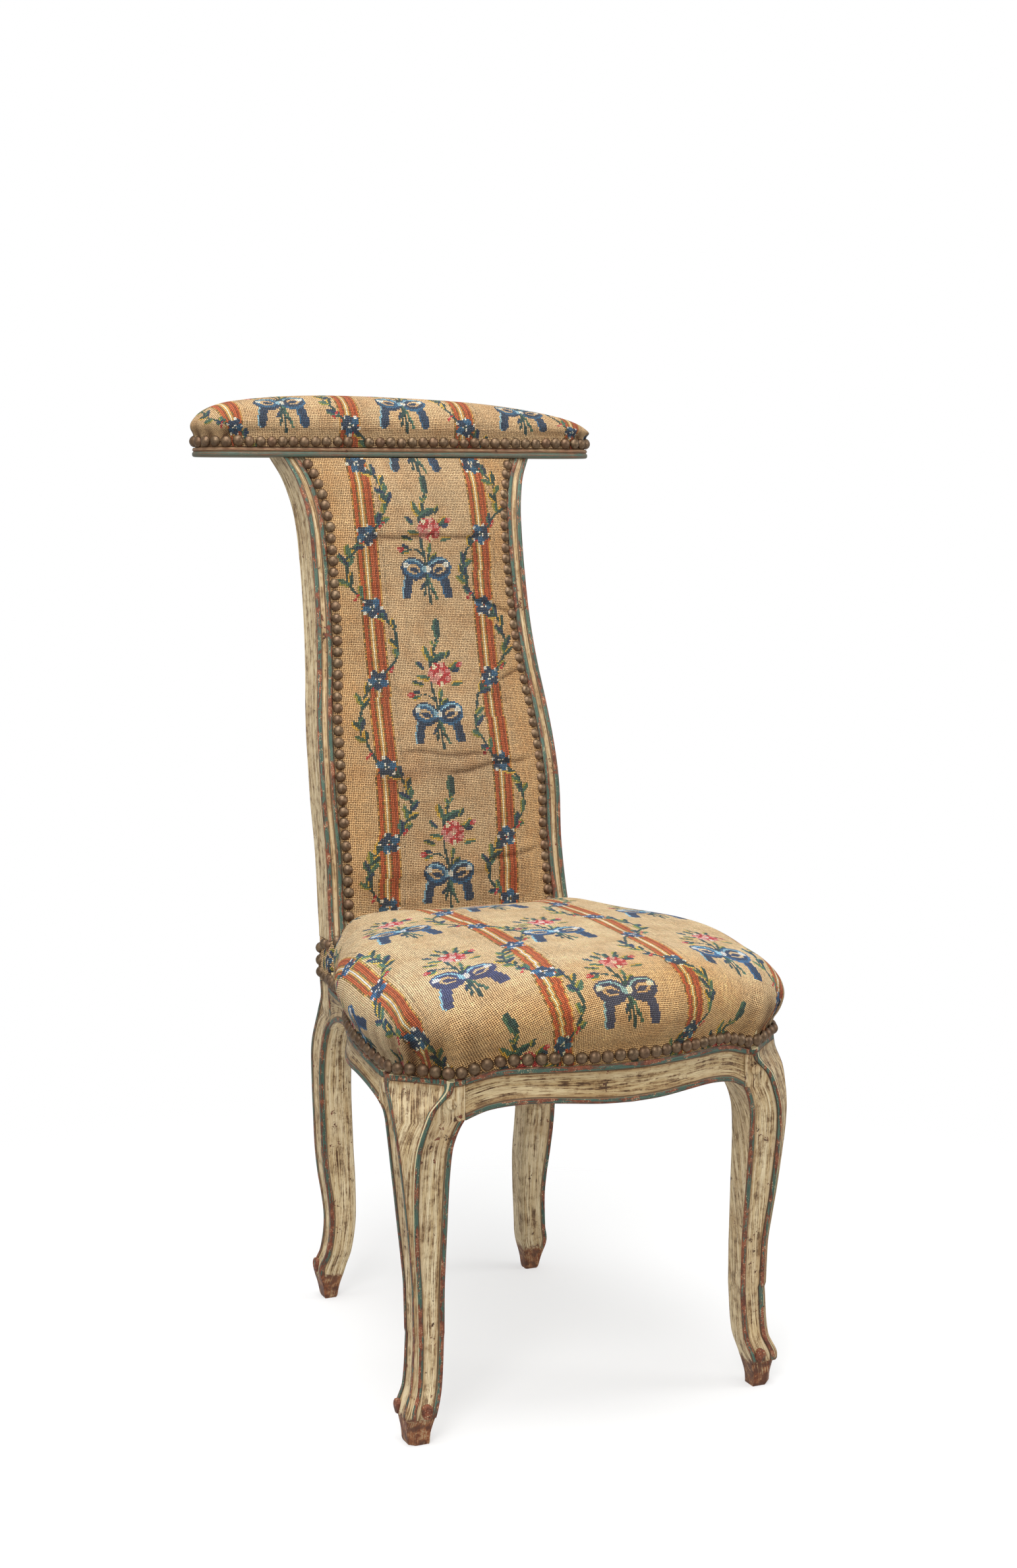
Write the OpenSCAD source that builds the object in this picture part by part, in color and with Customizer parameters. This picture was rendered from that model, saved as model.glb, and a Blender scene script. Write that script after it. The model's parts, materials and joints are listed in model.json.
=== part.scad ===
// Low kneeling chair for watching card play: cabriole frame, tall narrow back, padded
// T-shaped crest to lean on, needlework held by close rows of domed brass nails.
// Millimetres. Front of the chair faces -Y, +Z is up. Lengths along Y are taken from the
// line of the rear feet, and the finished chair is then centred over its own footprint.

/* [Seat frame] */
// width over the outer faces of the two front knees
knee_w = 389; // [350:2:430]
// rear feet line to the front faces of the front legs
front_reach = 415; // [380:2:450]
// how far the front rail swells forward of the legs
front_bow = 49; // [20:1:70]
// flat top of the whole seat frame
frame_top = 352; // [340:1:380]
// nail line at the middle of the front rail
nail_mid_h = 343.5; // [338:0.5:346]
// nail line at the front corners
nail_corner_h = 332; // [328:0.5:338]
// nail line where the side rails meet the rear posts
nail_rear_h = 346; // [338:0.5:348]
// thickness of the seat rails
rail_t = 28; // [24:1:34]
// width of a front leg block from its outer face to the rail joint
block_w = 58; // [52:1:66]
// how far the outer side of a knee leans in towards the nail line
knee_lean = 2.5; // [0:0.5:6]
// size of the canted corner panel along each face
cant = 40; // [30:1:46]
// height of the arch where the front rail meets its leg
arch_h = 289; // [280:1:296]
// how much higher the side rail meets the leg
side_lift = 9; // [0:0.5:12]

/* [Front legs] */
// front foot centre, in from the outer face of the knee
foot_in = 22.5; // [14:0.5:30]
// front foot centre, behind the front face of the knee
foot_back = 28; // [20:1:40]
// foot width on the floor
foot_w = 20; // [15:1:26]
// foot width at the scroll above it
scroll_w = 31; // [26:0.5:38]
// height of the scroll
scroll_h = 27; // [22:1:34]
// ankle centre, in from the outer face of the knee
ankle_in = 33.7; // [26:0.1:42]
// ankle centre, behind the front face of the knee
ankle_back = 33.5; // [26:0.5:42]
// ankle width
ankle_w = 27; // [22:1:32]
// height of the slimmest part of the ankle
ankle_h = 92; // [75:1:110]

/* [Rear posts] */
// width over the posts at the seat
post_w = 272; // [254:1:290]
// thickness of a post across the chair
post_t = 35.5; // [32:0.5:42]
// depth of a post from front to back
post_d = 30; // [26:1:34]
// how much deeper a stile is under the crest
post_deepen = 9; // [4:0.5:12]
// half the distance between the rear foot centres
rear_foot_x = 114; // [104:1:126]
// half width over the slimmest part of the back
waist_half = 116; // [108:1:124]
// half width over the fullest part of the back
swell_half = 130; // [122:1:138]
// half width over the stiles under the crest
flare_half = 135; // [126:1:146]
// post front face ahead of the rear feet line at the seat
post_reach = 73; // [60:1:85]
// post front face behind the rear feet line under the crest
rake_run = 51; // [36:1:66]
// how much the outer side of a stile widens towards its rear edge
side_flare = 2.6; // [0:0.2:4]

/* [Crest] */
// underside of the crest board
crest_h = 855; // [820:1:890]
// width of the crest board
crest_w = 434; // [400:1:470]
// depth of the crest board from front to back
crest_d = 80; // [70:1:96]
// thickness of the crest board
crest_t = 23; // [19:1:28]
// crown of the crest pad above the board
crest_crown = 37; // [28:1:52]
// how much the crest pad is worn down towards its right end
crest_wear = 7; // [0:0.5:9]

/* [Upholstery] */
// crown of the seat above the frame
seat_crown = 72; // [55:1:90]
// outward swell of the seat over its nail line
seat_swell = 11; // [6:0.5:15]
// crown of the back pad in front of the stiles
back_crown = 13; // [8:0.5:20]
// thickness of the needlework
cloth_t = 1.6; // [1.2:0.1:2.4]
// depth of the rebate that the cloth is nailed into
rebate = 3.2; // [2.6:0.1:4.5]
// webbing strap width
strap_w = 48; // [40:1:55]
// webbing thickness
strap_t = 1.6; // [1.2:0.1:2.2]
// nail head diameter
nail_d = 11; // [9:0.5:12]
// distance from nail to nail along a row
nail_pitch = 11.6; // [11.2:0.1:14]
// height of a nail head
nail_rise = 4.2; // [3:0.1:5]

/* [Joints] */
// mould bead width
bead = 5.5; // [4:0.5:7]
// depth of the hollow between the beads
hollow = 2.6; // [1.5:0.1:4]
// peg diameter
peg_d = 9; // [7:0.5:11]
// front tenon length
tenon_l = 24; // [18:1:28]
// tenon thickness
tenon_t = 9; // [7:0.5:11]
// wood left in a tenon under its peg
peg_margin = 1.6; // [1:0.2:3]
// clearance round a tenon in its mortise
fit = 0.15; // [0.05:0.05:0.3]

/* [Hidden] */

cream = [0.85, 0.81, 0.69];
green = [0.31, 0.48, 0.44];
canvas_tan = [0.85, 0.68, 0.47];
linen = [0.72, 0.62, 0.46];
horsehair = [0.25, 0.2, 0.16];
brass = [0.42, 0.34, 0.27];
seam = 0.2;
$fn = 48;

// footprint, to centre the chair
seat_front = front_reach + front_bow + cloth_t - rebate + seat_swell;
crest_mid = rake_run + crest_d / 2 - 3;
y_off = (seat_front - (crest_mid + crest_d / 2 - rebate + cloth_t + nail_rise)) / 2;

knee_x = knee_w / 2;
joint_x = knee_x - block_w;
joint_y = front_reach - block_w;
post_x = post_w / 2;
post_in = post_x - post_t;
leg_top = frame_top;
foot_x = knee_x - foot_in;
foot_reach = front_reach - foot_back;
ankle_x = knee_x - ankle_in;
ankle_reach = front_reach - ankle_back;
// heights in the rails, drawn for 36 between the arch and the nailed edge
function up(k) = arch_h + k * (nail_corner_h - 7 - arch_h) / 36;
// heights of the joints, as a share of the rail's depth
function rail_z(k) = mix(arch_h, frame_top, k);
// the scroll stands this much higher than its drawn height, and the foot is longer by it
foot_drop = 3.3;
function floor_z(z) = z < scroll_h ? z - foot_drop * (1 - z / scroll_h) : z;

// smooth curve through [position, value] pairs
function seg(P, t, i = 0) = i >= len(P) - 2 || t < P[i + 1][0] ? i : seg(P, t, i + 1);
function slope(P, i) = let (a = max(i - 1, 0), b = min(i + 1, len(P) - 1))
    (P[b][1] - P[a][1]) / (P[b][0] - P[a][0]);
function curve(P, t) = t <= P[0][0] ? P[0][1] : t >= P[len(P) - 1][0] ? P[len(P) - 1][1] :
    let (i = seg(P, t), h = P[i + 1][0] - P[i][0], s = (t - P[i][0]) / h)
    (2 * s * s * s - 3 * s * s + 1) * P[i][1] + (s * s * s - 2 * s * s + s) * h * slope(P, i)
    + (3 * s * s - 2 * s * s * s) * P[i + 1][1] + (s * s * s - s * s) * h * slope(P, i + 1);
function mix(a, b, f) = a + (b - a) * f;

function unit(v) = v / max(norm(v), 0.000001);
function lower(P) = [for (p = P) [p[0], p[1], floor_z(p[2])]];

// closed skin over rings of equal count; its ends close on a middle point, or across a thin width
function middle(P) = [for (k = [0:2]) [for (p = P) p[k]] * [for (p = P) 1 / len(P)]];
module skin(R, thin = false) {
    n = len(R[0]);
    m = len(R);
    pts = concat([for (r = R) each r], [middle(R[0]), middle(R[m - 1])]);
    sides = [for (i = [0:m - 2]) for (j = [0:n - 1]) let (a = i * n + j, b = i * n + (j + 1) % n)
        each [[a, b, a + n], [b, b + n, a + n]]];
    ends = !thin ? [for (j = [0:n - 1]) each [[m * n, (j + 1) % n, j],
        [m * n + 1, (m - 1) * n + j, (m - 1) * n + (j + 1) % n]]] :
        [for (e = [0, 1]) for (j = [0:n / 2 - 2]) let (o = e * (m - 1) * n,
        a = o + j, b = o + j + 1, c = o + n - 2 - j, d = o + n - 1 - j)
        each (e == 0 ? [[a, d, b], [b, d, c]] : [[a, b, d], [b, c, d]])];
    F = concat(sides, [for (f = ends) if (f[1] != f[2] && f[0] != f[1] && f[0] != f[2]) f]);
    volume = [for (f = F) cross(pts[f[0]], pts[f[1]]) * pts[f[2]]] * [for (f = F) 1];
    polyhedron(points = pts, faces = volume < 0 ? F : [for (f = F) [f[0], f[2], f[1]]]);
}

// nail line of the seat frame
function nail_front(x) = curve([[0, nail_mid_h], [60, nail_mid_h],
    [92, mix(nail_mid_h, nail_corner_h, 0.1)], [112, mix(nail_mid_h, nail_corner_h, 0.3)],
    [joint_x - 6, mix(nail_mid_h, nail_corner_h, 0.8)], [joint_x + 8, nail_corner_h - 2],
    [knee_x - cant, nail_corner_h]], abs(x));
function side_f(y) = (-post_reach - y) / (joint_y - post_reach);
function nail_side(y) = mix(nail_corner_h, nail_rear_h, curve([[0, 1], [0.62, 0.97], [0.71, 0.87], [0.79, 0.68],
    [0.87, 0.44], [0.95, 0.16], [1, 0.04], [1.06, 0]], side_f(y)));

// front rail: how far it stands forward, and its lower edge
function front_y(x) = -front_reach - front_bow * curve([[0, 1], [0.17, 0.965], [0.34, 0.87],
    [0.5, 0.74], [0.73, 0.44], [0.9, 0.2], [1, 0.07], [1.13, 0]], abs(x) / joint_x);
function front_low(x) = curve([[0, up(13)], [0.22, up(13.6)], [0.51, up(15.5)],
    [0.7, up(14)], [0.87, up(9)], [1, up(0)]], abs(x) / joint_x);
// side rail: outer face and lower edge
function side_x(y) = mix(post_x, knee_x - knee_lean, curve([[0, 0.02], [0.06, 0.085], [0.12, 0.13], [0.2, 0.175],
    [0.27, 0.225], [0.36, 0.34], [0.45, 0.51], [0.56, 0.74], [0.64, 0.87], [0.72, 0.96], [0.8, 1],
    [0.88, 1.005], [0.955, 0.99], [1.1, 0.98]], side_f(y)));
function side_low(y) = up(curve([[0, 6], [0.065, 15], [0.13, 21.5], [0.2, 25], [0.26, 25.5], [0.34, 23.5],
    [0.42, 21], [0.52, 19.5], [0.62, 19.5], [0.72, 20.5], [0.8, 20.5], [0.88, 17.5], [0.94, 13.5],
    [1, side_lift]], side_f(y)));
// lean of the outer side at a height, full at the nail line
function lean_in(z) = knee_lean * curve([[up(9), 0], [nail_corner_h - 7, 0.8], [nail_corner_h, 1], [frame_top, 1]], z);

// front leg faces, as heights from the floor
leg_rise = [[0, 0], [arch_h - 159, 0.08], [arch_h - 129, 0.22], [arch_h - 99, 0.4], [arch_h - 69, 0.58],
    [arch_h - 39, 0.76], [arch_h, 0.93], [leg_top, 1]];
function leg_face(z, foot, ankle, knee) = z < ankle_h
    ? curve([[0, foot + foot_w / 2], [10, foot + foot_w / 2 + 1.2],
        [scroll_h, mix(ankle, foot, 0.85) + scroll_w / 2], [scroll_h + 20, mix(ankle, foot, 0.28) + ankle_w / 2 + 0.6],
        [ankle_h, ankle + ankle_w / 2]], z)
    : mix(ankle + ankle_w / 2, knee, curve(leg_rise, z));
front_curl = [[arch_h - 55, 0], [arch_h - 27, 0.14], [arch_h - 14, 0.42], [arch_h - 5, 0.75], [arch_h, 1],
    [up(1), 1], [leg_top, 1]];
side_curl = [[arch_h - 159, 0], [arch_h - 99, -0.2], [arch_h - 39, -0.42], [arch_h - 8, -0.3], [arch_h, -0.08],
    [up(5), 0.3], [up(side_lift), 1], [up(side_lift + 1), 1], [leg_top, 1]];
function leg_back(z, foot, ankle, joint, curl) = z < ankle_h
    ? curve([[0, foot - foot_w / 2], [10, foot - foot_w / 2 - 0.8],
        [scroll_h, mix(ankle, foot, 0.85) - scroll_w / 2 + 1.5],
        [scroll_h + 20, mix(ankle, foot, 0.28) - ankle_w / 2], [ankle_h, ankle - ankle_w / 2]], z)
    : mix(ankle - ankle_w / 2, joint, curve(curl, z));
function leg_cant(z) = curve([[0, 5], [scroll_h, 4], [ankle_h, 2.5], [arch_h - 119, 2.5], [arch_h - 89, 4],
    [arch_h - 64, 6], [arch_h - 39, 9], [arch_h - 24, 12], [arch_h - 9, 17.5], [up(10), cant * 0.66],
    [up(27), cant], [leg_top, cant]], z);

// moulded face from its inner edge (s = 0) to its outer edge (s = len): how deep it is cut
function mould(s, l) = let (b = min(bead, l / 3), q = 0.9)
    s < b ? q * pow(abs(2 * s / b - 1), 3) :
    s > l - b ? q * pow(abs(2 * (l - s) / b - 1), 3) :
    q + (hollow - q) * sin(180 * (s - b) / (l - 2 * b));
function stops(l) = let (b = min(bead, l / 3)) [0, b * 0.25, b * 0.75, b, b + (l - 2 * b) * 0.25,
    l / 2, b + (l - 2 * b) * 0.75, l - b, l - b * 0.75, l - b * 0.25, l];

// one horizontal section of a front leg, on the right
function leg_ring(z) = let (
    xo = leg_face(z, foot_x, ankle_x, knee_x) - lean_in(z), yo = leg_face(z, foot_reach, ankle_reach, front_reach),
    xi = leg_back(z, foot_x, ankle_x, joint_x, front_curl), yi = leg_back(z, foot_reach, ankle_reach, joint_y, side_curl),
    c = leg_cant(z), top = z > nail_corner_h - 7 + 0.5, cut = top ? rebate : 0,
    k = z < scroll_h + 6 ? 0.15 : z < scroll_h + 20 ? 0.6 : top ? 0 : 1, lf = xo - c - xi, ls = yo - c - yi,
    lift = curve([[up(7), 0], [nail_corner_h - 7, 1], [nail_corner_h + 6, 1], [leg_top, 0]], z),
    tilt = curve([[arch_h - 49, 0], [arch_h, 1], [leg_top, 1]], z))
    concat(
        [for (s = stops(lf)) let (x = xi + s, d = mould(s, lf) * k + cut)
            [x, -yo + d - tilt * (-front_reach - front_y(x)), z + lift * (nail_front(x) - nail_corner_h)]],
        [for (t = [0.25, 0.5, 0.75]) [xo - c + t * c - cut * 0.7, -yo + t * c + cut * 0.7, z]],
        [for (s = stops(ls)) let (y = -yo + c + s, d = mould(ls - s, ls) * k + cut)
            [xo - d, y, z + lift * (nail_side(y) - nail_corner_h)]],
        [for (t = [0.3, 0.62]) [mix(xo, xi, t), -yi, z]],
        [[xi + 5, -yi, z], [xi + 1.5, -yi - 1.5, z], [xi, -yi - 5, z]],
        [for (t = [0.38, 0.7]) [xi, mix(-yi, -yo, t), z]]);
leg_z = concat([0, 1.5, scroll_h * 0.3, scroll_h * 0.74, scroll_h, scroll_h + 7],
    [for (k = [0.38, 0.6]) mix(scroll_h, ankle_h, k)], [for (i = [0:7]) mix(ankle_h, arch_h - 41, i / 7)],
    [arch_h - 26, arch_h - 15, arch_h - 6, arch_h], [for (k = [5, side_lift, 17, 26, 36]) up(k)],
    [nail_corner_h - 6, nail_corner_h + 6, leg_top]);

// tenons and pegs, right side; grow adds the clearance for a mortise
module front_tenon(grow = 0) {
    translate([joint_x - 12, -front_reach + 10 - grow, rail_z(0.14) - grow])
        cube([12 + tenon_l + grow, tenon_t + 2 * grow, rail_z(0.84) - rail_z(0.14) + 2 * grow]);
}
side_turn = atan((side_x(-post_reach - 50) - side_x(-post_reach)) / 50);
module side_front_tenon(grow = 0) {
    translate([knee_x - 17 - tenon_t / 2 - grow, -joint_y - tenon_l + 2 - grow, rail_z(0.27) - grow])
        cube([tenon_t + 2 * grow, 12 + tenon_l + grow, rail_z(0.84) - rail_z(0.27) + 2 * grow]);
}
module side_rear_tenon(grow = 0) {
    translate([post_x - 15, -post_reach, rail_z(0.33) - grow]) rotate([0, 0, side_turn])
        translate([-tenon_t / 2 - grow, -12, 0])
            cube([tenon_t + 2 * grow, 12 + post_d * 0.6 + grow, rail_z(0.78) - rail_z(0.33) + 2 * grow]);
}
module rear_tenon(grow = 0) {
    translate([post_in - 12, -post_reach + 7 - grow, rail_z(0.4) - grow])
        cube([12 + post_t * 0.32 + grow, tenon_t + 2 * grow, rail_z(0.84) - rail_z(0.4) + 2 * grow]);
}
back_rail_h = frame_top + 44;
module back_tenon(grow = 0) {
    translate([stile_in(back_rail_h + 15) - 14, stile_y(back_rail_h + 15) + 11 - grow, back_rail_h + 6 - grow])
        cube([14 + post_t * 0.5 + grow, tenon_t + 2 * grow, 20 + 2 * grow]);
}
module crest_tenon(grow = 0) {
    translate([flare_half - 30, rake_run + 9 - grow, crest_h - 14])
        cube([20 + grow, tenon_t + 2 * grow, 14 + crest_t * 0.7 + grow]);
}
// pegs run in from the outer faces and cross the tenons
module front_peg(d) {
    translate([joint_x + 12, -front_reach + hollow + 0.4, rail_z(0.14) + peg_d / 2 + peg_margin]) rotate([-90, 0, 0])
        cylinder(d = d, h = 27);
}
module side_peg(d) {
    translate([knee_x - hollow - 1, -joint_y - 11, rail_z(0.27) + peg_d / 2 + peg_margin]) rotate([0, -90, 0])
        cylinder(d = d, h = 27);
}
module post_peg(d) {
    translate([post_x - hollow - 0.6, -post_reach + 9, rail_z(0.33) + peg_d / 2 + 2 * peg_margin]) rotate([0, -90, 0])
        cylinder(d = d, h = 19);
}
module front_leg() {
    color(cream) difference() {
        skin([for (z = leg_z) lower(leg_ring(z))]);
        front_tenon(fit);
        side_front_tenon(fit);
        front_peg(peg_d);
        side_peg(peg_d);
    }
}
module front_leg_right() {
    front_leg();
}
module front_leg_left() {
    mirror([1, 0, 0]) front_leg();
}

// stile of the back: front face and inner and outer edges against height
strip_h = 34;
strip_top = nail_rear_h - 7 + strip_h + 10;
strip_rise = 11;
function strip_lift(x, z) = strip_rise * min(1, max(0, (post_outer(z) - 3 - x) / 15));
// height on a stile, as a share of the way from the strip to the crest
function st(k) = mix(strip_top, crest_h, k);
function stile_y(z) = let (r = post_reach + rake_run) -post_reach + curve([[frame_top + 4, 0],
    [strip_top, r * 0.06], [st(0.06), r * 0.129], [st(0.172), r * 0.208], [st(0.324), r * 0.3],
    [st(0.466), r * 0.454], [st(0.619), r * 0.615], [st(0.773), r * 0.744], [st(0.85), r * 0.804],
    [st(0.917), r * 0.88], [crest_h, r]], z);
function stile_out(z) = curve([[frame_top + 4, post_x], [strip_top, mix(post_x, swell_half, 0.6)],
    [st(0.06), mix(post_x, swell_half, 0.95)], [st(0.172), swell_half - 1.5], [st(0.29), swell_half],
    [st(0.392), swell_half - 1.6], [st(0.466), mix(swell_half, waist_half, 0.32)],
    [st(0.544), mix(swell_half, waist_half, 0.63)], [st(0.619), mix(swell_half, waist_half, 0.85)],
    [st(0.695), mix(swell_half, waist_half, 0.97)], [st(0.809), waist_half], [st(0.873), waist_half + 1.2],
    [st(0.917), mix(waist_half, flare_half, 0.23)], [st(0.96), mix(waist_half, flare_half, 0.52)],
    [crest_h, flare_half]], z);
function stile_in(z) = stile_out(z) - post_t;
function stile_nail(z) = stile_out(z) - bead - 5.5 - bead - nail_d / 2 + 0.4;

// rear leg faces below the seat
function post_front(z) = z > frame_top + 4 ? stile_y(z) : -curve([[0, foot_w / 2], [12, foot_w / 2 + 1.5],
    [32, foot_w / 2 + 5], [50, 22], [80, 26], [130, 27.5], [arch_h - 99, 30], [arch_h - 54, 29.5],
    [arch_h - 27, 35], [arch_h - 5, 47], [up(8), post_reach - 13], [up(16), post_reach], [up(17), post_reach],
    [frame_top, post_reach]], z);
function post_rear(z) = z > frame_top + 4 ? max(stile_y(z) + post_d + post_deepen * curve([[strip_top, 0.2],
    [st(0.2), 0.5], [st(0.46), 0.4], [st(0.71), 0.35], [st(0.88), 0.7], [crest_h, 1]], z), -post_reach + post_d + 4) :
    -curve([[0, -foot_w / 2 + 1], [12, -foot_w / 2], [32, -8.5], [50, -3], [80, 1], [130, -1.5],
    [arch_h - 99, 0.5], [arch_h - 39, -1.2], [arch_h - 19, 3], [arch_h, 15], [up(18), 30],
    [up(36), post_reach - post_d], [frame_top, post_reach - post_d - 4]], z);
function post_outer(z) = z > frame_top + 4 ? stile_out(z) : curve([[0, rear_foot_x + foot_w / 2 - 1.2],
    [12, rear_foot_x + foot_w / 2], [30, rear_foot_x + 13.5], [48, rear_foot_x + 8.5],
    [80, rear_foot_x + 5.8], [104, rear_foot_x + 7.4], [130, rear_foot_x + 11.2], [160, rear_foot_x + 14.4],
    [arch_h - 89, rear_foot_x + 16.2], [arch_h - 39, post_x - 5.2], [arch_h, post_x - 4], [up(31), post_x - 1],
    [frame_top, post_x]], z);
function post_inner(z) = z > frame_top + 4 ? stile_in(z) : curve([[0, rear_foot_x - foot_w / 2 + 1],
    [12, rear_foot_x - foot_w / 2 + 0.2], [30, rear_foot_x - 14.5], [48, rear_foot_x - 18],
    [80, rear_foot_x - 21.4], [104, rear_foot_x - 21.6], [130, rear_foot_x - 20.8], [160, rear_foot_x - 18.8],
    [arch_h - 89, rear_foot_x - 17], [arch_h - 39, post_in - 3], [up(4), post_in], [frame_top, post_in]], z);
function post_ring(z) = let (xo = post_outer(z), xi = post_inner(z), yf = post_front(z), yb = post_rear(z),
    stile = z > strip_top, block = z > nail_rear_h - 7 && z < strip_top, cut = block ? rebate - 0.8 : 0,
    k = z < 42 ? 0.1 : block ? 0 : 1, xn = stile ? stile_nail(z) + nail_d / 2 : mix(xi, xo, 0.6), l = xo - xn,
    ls = yb - yf, flare = curve([[strip_top, 0], [st(0.38), 1], [st(0.67), side_flare], [crest_h, side_flare]], z),
    in = stile ? rebate + 0.9 : block ? rebate - 0.8 : 0, edge = abs(z - strip_top) < 1 ? 1 : 0)
    concat(
        [for (x = [xi + 1.5, mix(xi, xn, 0.5), xn - 0.6]) let (zz = z + edge * strip_lift(x, z))
            [x, post_front(zz) + in, zz]],
        [for (s = stops(l)) let (x = xn + s * (stile ? 1 : 0.94), zz = z + edge * strip_lift(x, z))
            [x, post_front(zz) + (stile ? mould(s, l) : cut), zz]],
        [for (s = stops(ls)) [xo + flare * s / ls - (stile ? 0.5 * k * sin(180 * s / ls) : mould(ls - s, ls) * k * 0.8 + cut),
            yf + 1.5 + s * (ls - 3) / ls, z]],
        [[xo + flare - 3, yb, z], [mix(xo, xi, 0.36), yb, z], [mix(xo, xi, 0.68), yb, z], [xi + 3, yb, z], [xi, yb - 3, z],
            [xi, mix(yf, yb, 0.5), z], [xi, post_front(z + edge * strip_rise) + in + 1.5, z + edge * strip_rise]]);
post_z = concat([0, 1.5, 10, 24, 36, 48, 64], [for (i = [0:7]) mix(84, arch_h - 25, i / 7)], [arch_h - 8],
    [for (k = [2, 10, 17, 29]) up(k)], [nail_rear_h - 7.5, nail_rear_h - 6.5, frame_top + 3.9,
    strip_top - 0.5, strip_top + 0.5], [for (k = [0.049, 0.091, 0.142]) st(k)],
    [for (i = [0:8]) st(0.206 + i * 0.0678)], [for (k = [0.811, 0.862, 0.9, 0.934, 0.964, 0.985]) st(k)],
    [crest_h - seam]);
module rear_post() {
    color(cream) union() {
        difference() {
            skin([for (z = post_z) lower(post_ring(z))]);
            side_rear_tenon(fit);
            rear_tenon(fit);
            back_tenon(fit);
            post_peg(peg_d);
        }
        crest_tenon();
    }
}
module rear_post_right() {
    rear_post();
}
module rear_post_left() {
    mirror([1, 0, 0]) rear_post();
}

// moulded rail section: bottom z, rebate z, top z, returned as [depth in from the face, z]
function rail_section(lo, up, top) = concat(
    [for (s = stops(up - lo)) [mould(s, up - lo), lo + s]],
    [[rebate, up + 0.6], [rebate, mix(up, top, 0.5)], [rebate, top], [rail_t * 0.6, top], [rail_t, top],
        [rail_t, mix(up, top, 0.5)], [rail_t, up], [rail_t, mix(lo, up, 0.66)], [rail_t, mix(lo, up, 0.33)],
        [rail_t, lo + 3], [rail_t * 0.66, lo], [rail_t * 0.33, lo], [rail_t * 0.12, lo - 0.3]]);
module front_rail() {
    n = 22;
    half = joint_x - seam;
    color(cream) union() {
        skin([for (i = [0:n]) let (x = half - 2 * half * i / n)
            [for (p = rail_section(front_low(x), nail_front(x) - 7, frame_top)) [x, front_y(x) + p[0], p[1]]]]);
        difference() {
            union() {
                front_tenon();
                mirror([1, 0, 0]) front_tenon();
            }
            front_peg(peg_d);
            mirror([1, 0, 0]) front_peg(peg_d);
        }
    }
}
module side_rail() {
    n = 22;
    y0 = -joint_y + seam;
    y1 = -post_reach - seam;
    color(cream) union() {
        skin([for (i = [0:n]) let (y = mix(y0, y1, i / n))
            [for (p = rail_section(side_low(y), nail_side(y) - 7, frame_top))
                [side_x(y) - p[0] + (p[0] < rail_t / 3 ? knee_lean - lean_in(p[1]) : 0) * pow(side_f(y), 2), y, p[1]]]]);
        difference() {
            union() {
                side_front_tenon();
                side_rear_tenon();
            }
            side_peg(peg_d);
            post_peg(peg_d);
        }
    }
}
module side_rail_right() {
    side_rail();
}
module side_rail_left() {
    mirror([1, 0, 0]) side_rail();
}
module rear_rail() {
    w = post_in - seam;
    n = 16;
    color(cream) union() {
        translate([0, -post_reach + post_d - 2, 0]) rotate([90, 0, 0]) linear_extrude(rail_t + 8)
            polygon(concat([[w, frame_top], [-w, frame_top]],
                [for (i = [0:n]) let (x = -w + 2 * w * i / n) [x, up(16 + 7 * cos(90 * x / w))]]));
        rear_tenon();
        mirror([1, 0, 0]) rear_tenon();
    }
}
module back_lower_rail() {
    z0 = back_rail_h;
    z1 = back_rail_h + 32;
    in = rebate + 0.9 + strap_t + 0.3;
    color(cream) union() {
        skin([for (x = [-1, 0, 1]) [for (p = concat([for (k = [0:4]) [in, mix(z0, z1, k / 4)]],
            [for (k = [4:-1:0]) [post_d - 2, mix(z0, z1, k / 4)]]))
            [x * (stile_in(p[1]) - 2 * seam), stile_y(p[1]) + p[0], p[1]]]]);
        back_tenon();
        mirror([1, 0, 0]) back_tenon();
    }
}

// crest board: long plan with round ends, moulded rim below the nailed edge
rim_h = 9.5;
module long_plan(inset, h) {
    r = crest_d / 2 - inset;
    x = crest_w / 2 - crest_d / 2;
    union() {
        translate([-x, -r, 0]) cube([2 * x, 2 * r, h]);
        for (s = [-1, 1]) translate([s * x, 0, 0]) cylinder(r = r, h = h);
    }
}
module crest_board() {
    color(cream) difference() {
        translate([0, crest_mid, crest_h]) union() {
            long_plan(2.2, 2);
            translate([0, 0, 1]) long_plan(0.8, rim_h - 1);
            translate([0, 0, 2.4]) long_plan(0, rim_h - 4.2);
            translate([0, 0, rim_h - 0.5]) long_plan(rebate, crest_t - rim_h + 0.5);
        }
        crest_tenon(fit);
        mirror([1, 0, 0]) crest_tenon(fit);
    }
}
module joint_pegs() {
    color(cream) for (s = [0, 1]) mirror([s, 0, 0]) {
        front_peg(peg_d);
        side_peg(peg_d);
        post_peg(peg_d);
    }
}

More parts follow.
